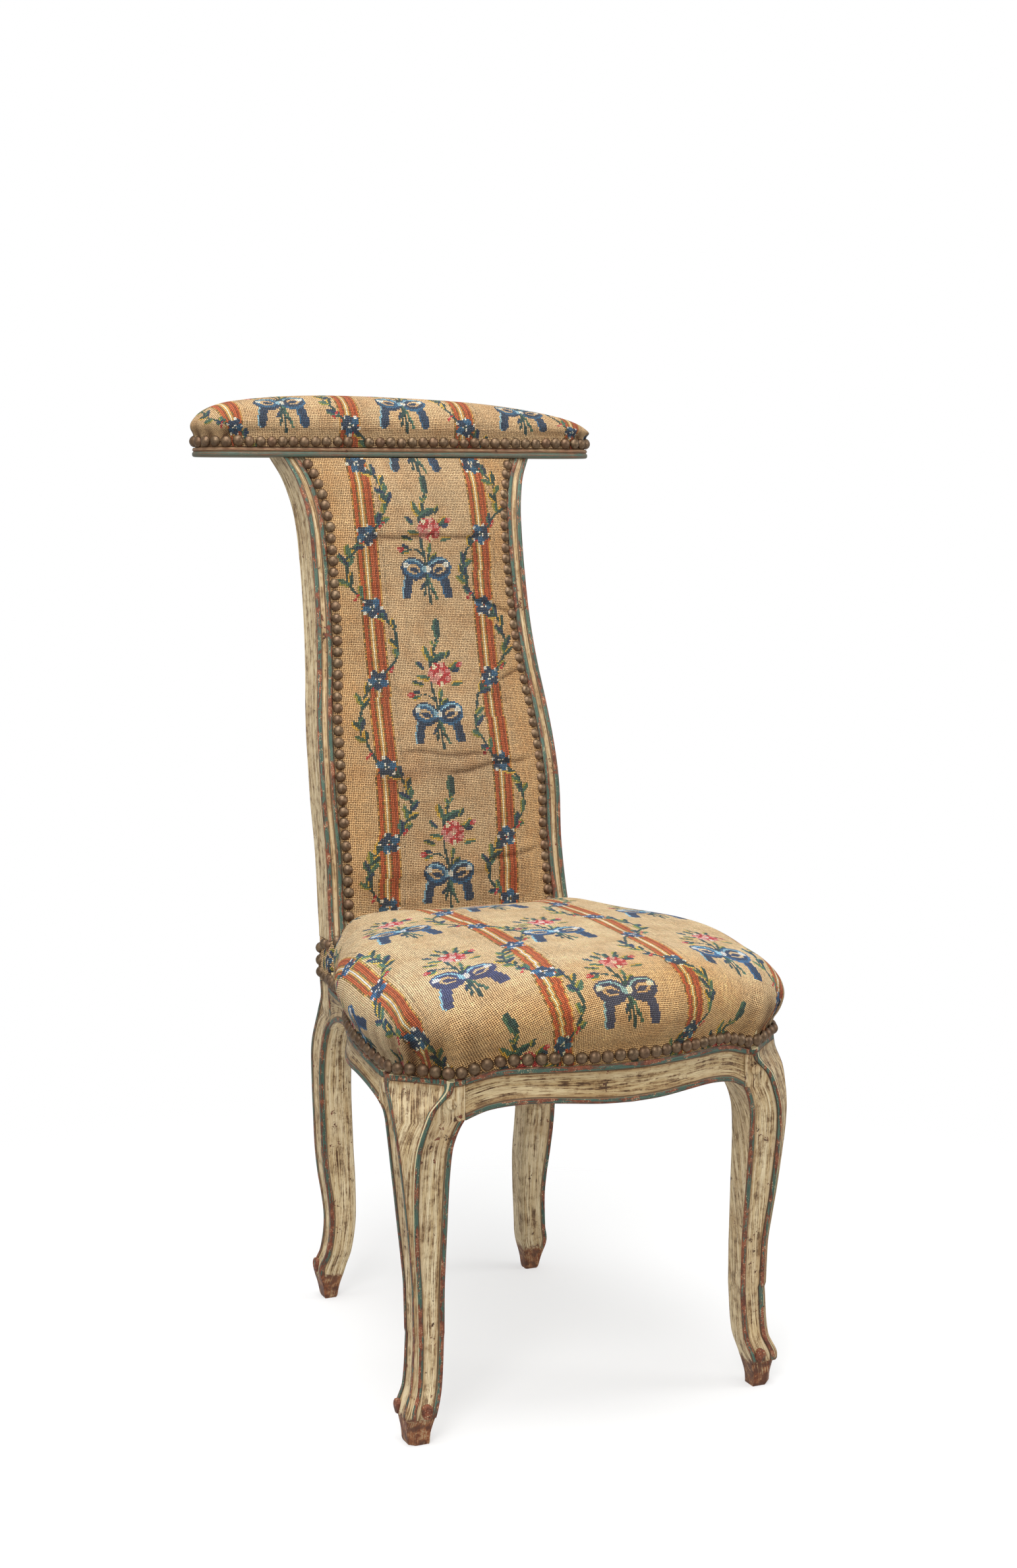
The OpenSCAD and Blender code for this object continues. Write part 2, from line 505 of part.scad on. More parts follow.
// webbing, woven over and under at each crossing
web_z = frame_top + 0.1 + strap_t + 0.1;
seat_rows = [for (i = [0:4]) mix(-joint_y + 22, -post_reach - strap_w / 2 - 10, i / 4)];
seat_cols = [for (i = [-2:2]) i * (post_in + 8) / 2];
module strap(a, b, marks, up) {
    c = strap_t / 2 + 0.1;
    e = strap_w / 2 + 0.6;
    n = len(marks) - 1;
    function over(i) = (i % 2 == up ? 1 : -1) * c;
    first = marks[0] - e - 9 > a ? [[a, -c], [marks[0] - e - 9, -c]] : [[a, over(0)]];
    last = marks[n] + e + 9 < b ? [[marks[n] + e + 9, -c], [b, -c]] : [[b, over(n)]];
    P = concat(first, [for (i = [0:n]) for (q = [[marks[i] - e, over(i)], [marks[i] + e, over(i)]])
        if (q[0] > a + 0.5 && q[0] < b - 0.5) q], last);
    translate([0, 0, -strap_w / 2]) linear_extrude(strap_w) polygon(concat(
        [for (q = P) [q[0], q[1] + strap_t / 2]], [for (i = [len(P) - 1:-1:0]) [P[i][0], P[i][1] - strap_t / 2]]));
}
module seat_straps_long() {
    color(linen) for (i = [0:4]) {
        x = seat_cols[i];
        translate([x, 0, web_z]) rotate([90, 0, 90])
            strap(front_y(x) + 9, -post_reach - 8, seat_rows, i % 2);
    }
}
module seat_straps_cross() {
    color(linen) for (j = [0:4]) {
        y = seat_rows[j];
        w = side_x(y + strap_w / 2) - 13 - (j == 4 ? 6 : 0);
        translate([0, y, web_z]) rotate([90, 0, 0]) strap(-w, w, seat_cols, 1 - j % 2);
    }
}
base_z = web_z + strap_t + 0.2 + 0.1;
base_t = 0.8;

// outline of the seat on its nailed edge, right half from the rear middle to the front
rear_edge = -post_reach - 4;
rear_lean = 7.5;
rear_corner = 20;
seat_half = concat(
    [for (x = [0, 50, 98]) [x, rear_edge, 0, 1]],
    [for (f = [0, 0.08, 0.17, 0.25, 0.33, 0.42, 0.52, 0.62, 0.71, 0.8, 0.9]) let (y = mix(rear_edge, -front_reach + cant, f))
        [side_x(y) - rebate, y, 1, 0]],
    [for (f = [0.08, 0.36, 0.64, 0.92]) [mix(knee_x, knee_x - cant, f) - rebate * 0.7,
        mix(-front_reach + cant, -front_reach, f) + rebate * 0.7, mix(1, 0.15, f), -mix(0.15, 1, f)]],
    [for (x = [joint_x + 2, 116, 96, 76, 56, 36, 16]) [x, front_y(x) + rebate, 0.1 * x / joint_x, -1]]);
seat_loop = concat(seat_half, [[0, front_y(0) + rebate, 0, -1]],
    [for (i = [len(seat_half) - 1:-1:1]) [-seat_half[i][0], seat_half[i][1], -seat_half[i][2], seat_half[i][3]]]);
function hem_z(p) = p[1] >= rear_edge - 0.5 && abs(p[0]) < post_in ? frame_top + 7 : p[1] > -front_reach + cant
    ? nail_side(p[1]) : abs(p[0]) < knee_x - cant ? nail_front(p[0]) : nail_corner_h;
seat_mid = [0, -front_reach * 0.56];
seat_top = frame_top + seat_crown;
// levels of the seat: outward offset, share of the way to the middle, share of the rise
seat_levels = [[0, 0, -6.5], [0, 0, 7], [0.62, 0, 18], [1, 0, 31], [0.7, 0, 45], [0, 0.015, 57],
    [0, 0.08, 66], [0, 0.22, 0.5], [0, 0.42, 0.74], [0, 0.66, 0.96], [0, 0.88, 1]];
// how the seat draws in round the rear posts: share of the corner at each level
seat_tuck = [0, 0.1, 0.42, 0.6, 0.95, 1.1, 1, 0.85, 0.6, 0.3, 0.1];
function seat_ring(k, skin_in) = [for (p = seat_loop) let (L = seat_levels[k], n = unit([p[2], p[3]]),
    near = curve([[0, 1], [0.1, 0.5], [0.2, 0.18], [0.34, 0]], side_f(p[1])),
    rear = p[1] >= rear_edge - 0.5 && abs(p[0]) < post_in, o = (rear ? 0 : L[0] * seat_swell * (1 - near)
        - near * rear_corner * seat_tuck[k]) + cloth_t + 0.25 - skin_in,
    lean = rear_lean * min(k, 6) / 6,
    q = [p[0] + n[0] * o * (rear ? 0 : 1), p[1] + (rear ? lean - skin_in : n[1] * o)],
    f = L[1], h = hem_z(p), low = rear ? 0.35 : 0,
    zz = k < 7 ? (rear ? mix(frame_top + 1.2, seat_top - 24, max(0, k) / 6) : mix(h + L[2],
        seat_top - 8, k < 5 ? 0 : (k - 4) * 0.08)) : mix(rear ? seat_top - 24 : h + 66, seat_top, L[2]))
    [mix(q[0], seat_mid[0], f), mix(q[1], seat_mid[1], f), zz - (k > 3 ? skin_in * (k > 5 ? 1 : 0.5) : 0)]];
module seat_cover() {
    m = len(seat_levels) - 1;
    color(canvas_tan) skin(concat([for (k = [m:-1:0]) seat_ring(k, 0)], [for (k = [0:m]) seat_ring(k, cloth_t)]));
}
module seat_base_cloth() {
    color(linen) translate([0, 0, base_z]) linear_extrude(base_t)
        polygon([for (p = seat_loop) [p[0] * 0.93, (p[1] - seat_mid[1]) * 0.93 + seat_mid[1]]]);
}
function fill_ring(k) = [for (p = seat_ring(k, cloth_t + 0.6)) [p[0], p[1], max(p[2], base_z + base_t + 0.15)]];
module seat_stuffing() {
    m = len(seat_levels) - 1;
    z0 = base_z + base_t + 0.1;
    lo = [for (p = seat_ring(3, cloth_t + 3)) [p[0] * 0.97, (p[1] - seat_mid[1]) * 0.97 + seat_mid[1], z0]];
    color(horsehair) skin(concat([for (k = [m:-1:3]) fill_ring(k)], [lo]));
}

// cloth nailed round the outside of each post above the seat
module post_strip() {
    z0 = nail_rear_h - 6.5;
    z1 = strip_top - 0.8;
    y0 = -post_reach - 2.2;
    o = 0.8 - rebate + 0.15;
    function path(z, in) = let (x = post_outer(z) + o + cloth_t - in, yb = post_rear(z) - 1.5,
        r = 3 - in * 1.15, out = rebate - 0.8 - 0.15 - (z > frame_top + 0.3 ? 0.7 : 0) - (cloth_t - in), yf = post_front(z) + out)
        [for (q = [[x - 19, 1], [x - 11, 1], [x - r, 1], [x, 0, yf + r], [x, 0, mix(yf, yb, 0.5)], [x, 0, yb]])
            let (zz = z + q[1] * strip_lift(q[0], z) * (z - z0) / (z1 - z0)) [q[0], q[1] == 1 ? post_front(zz) + out : q[2], zz]];
    color(canvas_tan) skin([for (i = [0:6]) let (z = mix(z0, z1, i / 6), A = path(z, 0), B = path(z, cloth_t))
        concat(A, [for (j = [5:-1:0]) B[j]])], thin = true);
}
module post_strip_right() {
    post_strip();
}
module post_strip_left() {
    mirror([1, 0, 0]) post_strip();
}

// the back: cover nailed in the rebates of the stiles, pad and webbing behind it
back_z = concat([for (i = [0:11]) mix(strip_top + 3, st(0.852), i / 11)],
    [for (k = [0.883, 0.915, 0.947, 0.972]) st(k)], [crest_h - 0.8]);
back_cols = [0, 0.02, 0.1, 0.19, 0.3, 0.5, 0.7, 0.9];
function back_half(z) = stile_nail(z) + nail_d / 2 - 0.7;
function back_puff(u, z) = let (e = min(1, (crest_h - z) / 26) * 0.75 + 0.25, b = min(1, max(0.35, (z - strip_top) / 60)))
    back_crown * b * e * (u < 0.11 ? 0.02 : 1 - pow(max(0, (1 - u) - 0.1) / 0.9, 3.2));
function back_line(z, in, far) = [for (s = [0:14]) let (u = s < 7 ? back_cols[s] : s == 7 ? 1 : back_cols[14 - s],
    sx = s < 7 ? 1 : s == 7 ? 0 : -1, x = sx * back_half(z) * (1 - u))
    [x, stile_y(z) + rebate + 0.9 - 0.35 - strap_t - (cloth_t - in) - back_puff(u, z) * far, z]];
module back_cover() {
    color(canvas_tan) skin([for (z = back_z) let (A = back_line(z, 0, 1), B = back_line(z, cloth_t, 1))
        concat(A, [for (j = [14:-1:0]) B[j]])], thin = true);
}
module back_stuffing() {
    in = cloth_t + 0.25;
    color(horsehair) skin([for (z = [for (q = back_z) if (q > back_z[0] + 1 && q < crest_h - 2) q]) let (
        A = [for (s = [3:11]) back_line(z, in, 1)[s]],
        B = [for (p = A) [p[0], stile_y(z) + rebate + 0.9 - 0.35 - strap_t - 0.2, z]])
        concat(A, [for (j = [8:-1:0]) B[j]])], thin = true);
}
back_rows = [for (i = [0:5]) st(0.146 + i * 0.144)];
module back_straps_cross() {
    b = rebate + 0.9 - 0.25 - strap_t;
    color(linen) for (z = back_rows) {
        w = stile_nail(z) - 1;
        Z = [for (i = [-4:4]) z + i * (strap_w / 2 - 2) / 4];
        translate([-w, 0, 0]) rotate([90, 0, 90]) linear_extrude(2 * w) polygon(concat(
            [for (q = Z) [stile_y(q) + b, q]], [for (i = [8:-1:0]) [stile_y(Z[i]) + b + strap_t, Z[i]]]));
    }
}
module back_straps_long() {
    n = 40;
    z0 = back_rail_h + 2;
    z1 = crest_h - 0.5;
    Z = [for (i = [0:n]) mix(z0, z1, i / n)];
    b = rebate + 0.9 + 0.15;
    w = strap_w * 0.75;
    color(linen) for (x = [-strap_w, 0, strap_w]) translate([x - w / 2, 0, 0]) rotate([90, 0, 90]) linear_extrude(w)
        polygon(concat([for (z = Z) [stile_y(z) + b, z]], [for (i = [n:-1:0]) [stile_y(Z[i]) + b + strap_t, Z[i]]]));
}
module back_lining() {
    zz = concat([frame_top - 12, frame_top - 3], [for (i = [0:16]) mix(frame_top + 5, crest_h - 3, i / 16)]);
    color(linen) skin([for (z = zz) let (w = post_inner(z) + post_t / 3, y = post_rear(z) + 0.4)
        [[w, y + 1, z], [0, y + 1, z], [-w, y + 1, z], [-w, y, z], [0, y, z], [w, y, z]]], thin = true);
}

// crest pad: rings round the long plan, right end first
crest_pts = let (x = crest_w / 2 - crest_d / 2) concat(
    [for (a = [-90:15:90]) [x, cos(a), sin(a)]], [for (f = [0.7, 0.35, 0, -0.35, -0.7]) [x * f, 0, 1]],
    [for (a = [90:15:270]) [-x, cos(a), sin(a)]], [for (f = [-0.7, -0.35, 0, 0.35, 0.7]) [x * f, 0, -1]]);
crest_levels = [[0, -crest_t + rim_h + 0.5], [0, -crest_t + 21], [0.035, 0.18], [0.035, 0.4], [-0.04, 0.62],
    [-0.17, 0.78], [-0.38, 0.9], [-0.64, 0.97], [-0.88, 1]];
function crest_ring(k, in) = let (L = crest_levels[k], r = crest_d / 2 - rebate + 0.25 + cloth_t - in)
    [for (p = crest_pts) let (g = k < 2 ? 1 : 1 + 2 * L[0] * (L[0] > 0 ? 1 : 0.5), x = p[0] * (k < 5 ? 1 : 1 + L[0] * 0.25)
        + p[1] * r * g, d = abs(x) / (crest_w / 2),
        crown = crest_crown * (1 - 0.5 * pow(min(d, 1.02), 3)) - crest_wear * x / (crest_w / 2))
        [x, crest_mid + p[2] * r * g, crest_h + crest_t + (k < 2 ? L[1] : L[1] * crown)
            - (k > 2 ? in * (k > 4 ? 1 : 0.5) : 0)]];
module crest_cover() {
    m = len(crest_levels) - 1;
    color(canvas_tan) skin(concat([for (k = [m:-1:0]) crest_ring(k, 0)], [for (k = [0:m]) crest_ring(k, cloth_t)]));
}
module crest_stuffing() {
    m = len(crest_levels) - 1;
    z0 = crest_h + crest_t + 0.15;
    lo = [for (p = crest_ring(1, cloth_t + 3)) [p[0], p[1], z0]];
    color(horsehair) skin(concat([for (k = [m:-1:2]) crest_ring(k, cloth_t + 0.3)], [lo]));
}

// domed nail: flat against the cloth, standing along +Z
module nail() {
    r = (nail_d * nail_d / 4 + nail_rise * nail_rise) / (2 * nail_rise);
    intersection() {
        translate([0, 0, nail_rise - r]) sphere(r = r);
        cylinder(d = nail_d + 3, h = nail_rise + 1);
    }
}
// nails at an even pitch along a path of [x, y, z, nx, ny, nz]
function run(P, i = 0, acc = 0) = i == 0 ? concat([0], run(P, 1, 0)) : i >= len(P) ? [] :
    let (d = acc + norm([for (k = [0:2]) P[i][k] - P[i - 1][k]])) concat([d], run(P, i + 1, d));
function at(P, L, s, i = 0) = i >= len(P) - 2 || s <= L[i + 1] ? let (f = (s - L[i]) / (L[i + 1] - L[i]))
    [for (k = [0:5]) mix(P[i][k], P[i + 1][k], f)] : at(P, L, s, i + 1);
module nail_row(P, skip = -1, closed = false) {
    L = run(P);
    total = L[len(L) - 1];
    n = max(1, round(total / nail_pitch));
    for (i = [0:closed ? n - 1 : n]) if (i != skip) {
        q = at(P, L, total * i / n);
        d = unit([q[3], q[4], q[5]]);
        translate([q[0], q[1], q[2]] + d * 0.1) rotate([0, acos(d[2]), atan2(d[1], d[0])]) nail();
    }
}
// outer surface of the seat hem at its nail line
hem_out = cloth_t + 0.25;
seat_row = concat(
    [for (i = [0:20]) let (y = mix(-post_reach - 8, -front_reach + cant + 3, i / 20))
        [side_x(y) - rebate + hem_out, y, nail_side(y), 1, 0.12, 0]],
    [for (f = [0, 0.5, 1]) [mix(knee_x, knee_x - cant, mix(0.12, 0.88, f)) - rebate * 0.7 + hem_out * 0.75,
        mix(-front_reach + cant, -front_reach, mix(0.12, 0.88, f)) + rebate * 0.7 - hem_out * 0.75,
        nail_corner_h, 1, -1, 0]],
    [for (i = [0:24]) let (x = (joint_x + 12) * (1 - i / 24), s = (front_y(x + 1) - front_y(x - 1)) / 2)
        [x, front_y(x) + rebate - hem_out, nail_front(x), s, -1, 0]]);
seat_path = concat(seat_row, [for (i = [len(seat_row) - 2:-1:0]) let (q = seat_row[i])
    [-q[0], q[1], q[2], -q[3], q[4], q[5]]]);
module seat_nails() {
    color(brass) nail_row(seat_path);
}
function strip_y(z) = post_front(z) + rebate - 0.85 - 0.95 - cloth_t;
strip_path = let (o = 0.8 - rebate + 0.15 + cloth_t, zt = strip_top - 6, zb = nail_rear_h - 1) concat(
    [for (q = [[post_front(zb) + 3, zb], [post_rear(zb) - 12, zb], [post_rear(zb) - 5, zb + 4],
        [post_rear(zb) - 3.5, zb + 13], [post_rear(zt) - 4.5, zt - 5], [post_rear(zt) - 10, zt - 1],
        [post_front(zt) + 7, zt]]) [post_outer(q[1]) + o, q[0], q[1], 1, 0, 0]],
    [[post_outer(zt) + o - 1.5, strip_y(zt) + 1.5, zt + 0.5, 1, -1, 0],
        [post_outer(zt) + o - 10, strip_y(zt + 4.5), zt + 4.5, 0, -1, 0.3],
        [post_outer(zt) + o - 18, strip_y(zt + 10), zt + 10, 0, -1, 0.3]]);
module strip_nails() {
    color(brass) for (s = [0, 1]) mirror([s, 0, 0]) nail_row(strip_path);
}
back_path = [for (i = [0:60]) let (z = mix(crest_h - 7, strip_top + 21, i / 60), t = (stile_y(z + 1) - stile_y(z - 1)) / 2,
    p = back_line(z, 0, 1)[0]) [stile_nail(z), p[1] - back_puff(0.05, z), z, 0, -1, t]];
module back_nails() {
    color(brass) for (s = [0, 1]) mirror([s, 0, 0]) nail_row(back_path);
}
crest_path = let (r = crest_d / 2 - rebate + 0.25 + cloth_t, h = crest_h + rim_h + 6) [for (i = [0:len(crest_pts)])
    let (p = crest_pts[i % len(crest_pts)]) [p[0] + p[1] * r, crest_mid + p[2] * r, h, p[1], p[2], 0]];
module crest_nails() {
    color(brass) nail_row(crest_path, skip = 62, closed = true);
}

translate([0, y_off, foot_drop]) {
    front_leg_left();
    front_leg_right();
    rear_post_left();
    rear_post_right();
    front_rail();
    side_rail_left();
    side_rail_right();
    rear_rail();
    back_lower_rail();
    crest_board();
    joint_pegs();
    seat_straps_long();
    seat_straps_cross();
    seat_base_cloth();
    seat_stuffing();
    seat_cover();
    post_strip_left();
    post_strip_right();
    back_straps_long();
    back_straps_cross();
    back_stuffing();
    back_cover();
    back_lining();
    crest_stuffing();
    crest_cover();
    seat_nails();
    strip_nails();
    back_nails();
    crest_nails();
}
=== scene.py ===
# %% [markdown]
# # A low kneeling chair, dressed for the camera
# The frame of a small painted chair, its nailed needlework and its domed nails, made again at
# full detail over the solids that a lathe, a saw and a carver's gouge could make.

# %% Open the frame
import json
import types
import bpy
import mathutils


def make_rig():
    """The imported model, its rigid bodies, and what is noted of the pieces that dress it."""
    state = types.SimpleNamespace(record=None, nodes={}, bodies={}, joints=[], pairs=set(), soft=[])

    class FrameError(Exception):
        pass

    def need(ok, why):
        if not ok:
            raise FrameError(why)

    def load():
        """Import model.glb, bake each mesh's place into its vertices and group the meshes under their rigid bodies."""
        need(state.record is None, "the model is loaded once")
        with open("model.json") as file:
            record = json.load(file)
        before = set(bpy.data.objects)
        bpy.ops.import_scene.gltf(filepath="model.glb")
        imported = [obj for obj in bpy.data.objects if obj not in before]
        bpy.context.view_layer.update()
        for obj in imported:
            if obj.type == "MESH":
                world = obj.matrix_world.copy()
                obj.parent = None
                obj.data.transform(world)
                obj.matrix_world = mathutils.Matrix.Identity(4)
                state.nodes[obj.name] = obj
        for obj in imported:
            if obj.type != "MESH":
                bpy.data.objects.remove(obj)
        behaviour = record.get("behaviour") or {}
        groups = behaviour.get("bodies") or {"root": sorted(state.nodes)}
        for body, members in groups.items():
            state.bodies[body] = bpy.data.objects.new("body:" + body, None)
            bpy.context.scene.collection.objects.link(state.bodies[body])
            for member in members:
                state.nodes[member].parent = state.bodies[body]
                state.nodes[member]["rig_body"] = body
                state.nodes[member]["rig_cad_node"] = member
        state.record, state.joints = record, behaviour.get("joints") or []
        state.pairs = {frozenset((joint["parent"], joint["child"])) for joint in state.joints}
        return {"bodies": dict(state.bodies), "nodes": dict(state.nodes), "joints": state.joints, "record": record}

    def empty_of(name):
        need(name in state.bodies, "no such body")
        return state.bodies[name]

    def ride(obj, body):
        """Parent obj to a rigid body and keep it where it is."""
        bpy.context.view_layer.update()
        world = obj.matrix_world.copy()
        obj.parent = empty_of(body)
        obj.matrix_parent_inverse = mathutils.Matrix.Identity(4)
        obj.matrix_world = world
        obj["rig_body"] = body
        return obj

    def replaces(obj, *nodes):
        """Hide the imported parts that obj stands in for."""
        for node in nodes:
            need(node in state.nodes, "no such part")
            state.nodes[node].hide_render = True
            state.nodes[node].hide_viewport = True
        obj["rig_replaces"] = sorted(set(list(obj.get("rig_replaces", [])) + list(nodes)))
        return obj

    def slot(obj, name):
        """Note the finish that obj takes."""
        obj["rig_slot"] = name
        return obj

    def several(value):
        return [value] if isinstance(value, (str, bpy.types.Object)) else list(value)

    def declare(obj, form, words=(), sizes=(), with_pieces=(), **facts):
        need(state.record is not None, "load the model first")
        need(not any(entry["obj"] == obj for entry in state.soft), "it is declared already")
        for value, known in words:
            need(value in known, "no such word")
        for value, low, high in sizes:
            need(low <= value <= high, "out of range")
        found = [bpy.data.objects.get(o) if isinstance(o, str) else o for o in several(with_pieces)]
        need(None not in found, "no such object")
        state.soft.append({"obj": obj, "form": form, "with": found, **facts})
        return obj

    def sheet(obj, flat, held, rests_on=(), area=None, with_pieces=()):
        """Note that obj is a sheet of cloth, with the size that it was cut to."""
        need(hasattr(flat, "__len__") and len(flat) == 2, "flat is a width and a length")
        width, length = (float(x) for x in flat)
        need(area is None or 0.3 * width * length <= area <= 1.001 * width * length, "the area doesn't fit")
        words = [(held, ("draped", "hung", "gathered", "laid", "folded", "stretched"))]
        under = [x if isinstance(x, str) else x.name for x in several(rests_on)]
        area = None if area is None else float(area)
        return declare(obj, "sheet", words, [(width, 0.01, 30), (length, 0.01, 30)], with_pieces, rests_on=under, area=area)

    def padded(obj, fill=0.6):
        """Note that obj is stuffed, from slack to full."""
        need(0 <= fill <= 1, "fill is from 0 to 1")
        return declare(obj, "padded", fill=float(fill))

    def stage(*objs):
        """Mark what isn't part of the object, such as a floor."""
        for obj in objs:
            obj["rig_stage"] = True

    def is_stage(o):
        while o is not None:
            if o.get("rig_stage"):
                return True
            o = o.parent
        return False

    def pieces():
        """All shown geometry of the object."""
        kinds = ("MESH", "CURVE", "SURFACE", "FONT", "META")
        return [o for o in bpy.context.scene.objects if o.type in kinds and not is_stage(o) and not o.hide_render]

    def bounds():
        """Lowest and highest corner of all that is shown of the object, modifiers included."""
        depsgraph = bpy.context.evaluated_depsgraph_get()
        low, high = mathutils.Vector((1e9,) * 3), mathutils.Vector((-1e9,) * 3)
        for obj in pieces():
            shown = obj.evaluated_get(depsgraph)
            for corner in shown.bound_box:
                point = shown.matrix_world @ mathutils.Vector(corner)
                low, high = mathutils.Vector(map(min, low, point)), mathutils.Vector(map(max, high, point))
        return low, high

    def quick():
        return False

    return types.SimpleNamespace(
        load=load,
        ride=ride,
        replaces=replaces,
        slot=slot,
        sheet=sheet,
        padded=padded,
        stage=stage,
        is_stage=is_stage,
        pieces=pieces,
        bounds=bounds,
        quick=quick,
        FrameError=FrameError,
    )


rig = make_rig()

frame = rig.load()
import bpy, json, math
import numpy as np
from mathutils import Vector, kdtree
first_box = [list(c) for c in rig.bounds()]
print("solids:", len(frame["nodes"]), "box", [[round(v, 4) for v in c] for c in first_box])

# %% [markdown]
# ## The sizes
# All sizes are in millimetres from the line of the rear feet, as in the drawing of the frame.

# %% Sizes of the frame
knee_w, front_reach, front_bow, frame_top = 389, 415, 49, 352
nail_mid_h, nail_corner_h, nail_rear_h = 343.5, 332, 346
rail_t, block_w, knee_lean, cant, arch_h, side_lift = 28, 58, 2.5, 40, 289, 9
foot_w, scroll_w, scroll_h, ankle_w, ankle_h = 20, 31, 27, 27, 92
post_w, post_t, post_d, post_deepen, rear_foot_x = 272, 35.5, 30, 9, 114
waist_half, swell_half, flare_half, post_reach, rake_run, side_flare = 116, 130, 135, 73, 51, 2.6
crest_h, crest_w, crest_d, crest_t, crest_crown, crest_wear = 855, 434, 80, 23, 37, 7
seat_crown, seat_swell, back_crown, cloth_t, rebate, strap_t = 72, 11, 13, 1.6, 3.2, 1.6
nail_d, nail_pitch, nail_rise, bead, hollow, seam = 11, 11.6, 4.2, 5.5, 2.6, 0.2
knee_x, joint_y, post_x = knee_w / 2, front_reach - block_w, post_w / 2
joint_x, post_in, crest_mid = knee_x - block_w, post_x - post_t, rake_run + crest_d / 2 - 3
foot_x, foot_reach = knee_x - 22.5, front_reach - 28
ankle_x, ankle_reach = knee_x - 33.7, front_reach - 33.5
seat_front = front_reach + front_bow + cloth_t - rebate + seat_swell
y_off = (seat_front - (crest_mid + crest_d / 2 - rebate + cloth_t + nail_rise)) / 2
foot_drop = 3.3
strip_top = nail_rear_h - 7 + 44


def up(k):
    """Height k parts of 36 up the rail, from the knee's arch to the painted edge."""
    return arch_h + k * (nail_corner_h - 7 - arch_h) / 36


def st(k):
    """Height a share k of the way up the stile."""
    return strip_top + (crest_h - strip_top) * k


print("rail edge from", up(0), "to", up(36), "mm, stile from", strip_top)

# %% Smooth curves
def mix(a, b, f):
    return a + (b - a) * f


def curve(P, t):
    """Smooth curve through [position, value] pairs, flat beyond its ends."""
    P = np.asarray(P, float)
    X, Y = P[:, 0], P[:, 1]
    m = np.empty(len(X))
    m[1:-1] = (Y[2:] - Y[:-2]) / (X[2:] - X[:-2])
    m[0], m[-1] = (Y[1] - Y[0]) / (X[1] - X[0]), (Y[-1] - Y[-2]) / (X[-1] - X[-2])
    t = np.clip(np.asarray(t, float), X[0], X[-1])
    i = np.clip(np.searchsorted(X, t, side="right") - 1, 0, len(X) - 2)
    h = X[i + 1] - X[i]
    s = (t - X[i]) / h
    return ((2 * s**3 - 3 * s**2 + 1) * Y[i] + (s**3 - 2 * s**2 + s) * h * m[i]
            + (3 * s**2 - 2 * s**3) * Y[i + 1] + (s**3 - s**2) * h * m[i + 1])

# %% [markdown]
# ## Lines of the frame
# A chair maker cuts each curved part from a template. Each function here is such a template, a
# smooth curve through a few measured points. Wood, cloth and nails all ask the same line, so they
# stay together when a size changes.

# %% Lines of the frame
def nail_front(x):
    return curve([[0, nail_mid_h], [60, nail_mid_h], [92, mix(nail_mid_h, nail_corner_h, 0.1)],
                  [112, mix(nail_mid_h, nail_corner_h, 0.3)], [joint_x - 6, mix(nail_mid_h, nail_corner_h, 0.8)],
                  [joint_x + 8, nail_corner_h - 2], [knee_x - cant, nail_corner_h]], np.abs(x))


def side_f(y):
    """0 at the rear post, 1 at the front leg."""
    return (-post_reach - y) / (joint_y - post_reach)


def nail_side(y):
    return mix(nail_corner_h, nail_rear_h, curve([[0, 1], [0.62, 0.97], [0.71, 0.87], [0.79, 0.68], [0.87, 0.44],
                                                  [0.95, 0.16], [1, 0.04], [1.06, 0]], side_f(y)))


def front_y(x):
    return -front_reach - front_bow * curve([[0, 1], [0.17, 0.965], [0.34, 0.87], [0.5, 0.74], [0.73, 0.44],
                                             [0.9, 0.2], [1, 0.07], [1.13, 0]], np.abs(x) / joint_x)


def front_low(x):
    return curve([[0, up(13)], [0.22, up(13.6)], [0.51, up(15.5)], [0.7, up(14)], [0.87, up(9)], [1, up(0)]],
                 np.abs(x) / joint_x)


def side_x(y):
    return mix(post_x, knee_x - knee_lean, curve([[0, 0.02], [0.06, 0.085], [0.12, 0.13], [0.2, 0.175],
        [0.27, 0.225], [0.36, 0.34], [0.45, 0.51], [0.56, 0.74], [0.64, 0.87], [0.72, 0.96], [0.8, 1],
        [0.88, 1.005], [0.955, 0.99], [1.1, 0.98]], side_f(y)))


def side_low(y):
    return up(curve([[0, 6], [0.065, 15], [0.13, 21.5], [0.2, 25], [0.26, 25.5], [0.34, 23.5], [0.42, 21],
        [0.52, 19.5], [0.62, 19.5], [0.72, 20.5], [0.8, 20.5], [0.88, 17.5], [0.94, 13.5], [1, side_lift]], side_f(y)))


def lean_in(z):
    """How far the front leg leans in towards its top."""
    return knee_lean * curve([[up(9), 0], [nail_corner_h - 7, 0.8], [nail_corner_h, 1], [frame_top, 1]], z)


print("nails at", round(float(nail_front(0)), 1), "in front,", round(float(nail_side(-post_reach)), 1), "at the rear")

# %% Lines of a front leg
leg_rise = [[0, 0], [arch_h - 159, 0.08], [arch_h - 129, 0.22], [arch_h - 99, 0.4], [arch_h - 69, 0.58],
            [arch_h - 39, 0.76], [arch_h, 0.93], [frame_top, 1]]
front_curl = [[arch_h - 55, 0], [arch_h - 27, 0.14], [arch_h - 14, 0.42], [arch_h - 5, 0.75], [arch_h, 1],
              [up(1), 1], [frame_top, 1]]
side_curl = [[arch_h - 159, 0], [arch_h - 99, -0.2], [arch_h - 39, -0.42], [arch_h - 8, -0.3], [arch_h, -0.08],
             [up(5), 0.3], [up(side_lift), 1], [up(side_lift + 1), 1], [frame_top, 1]]


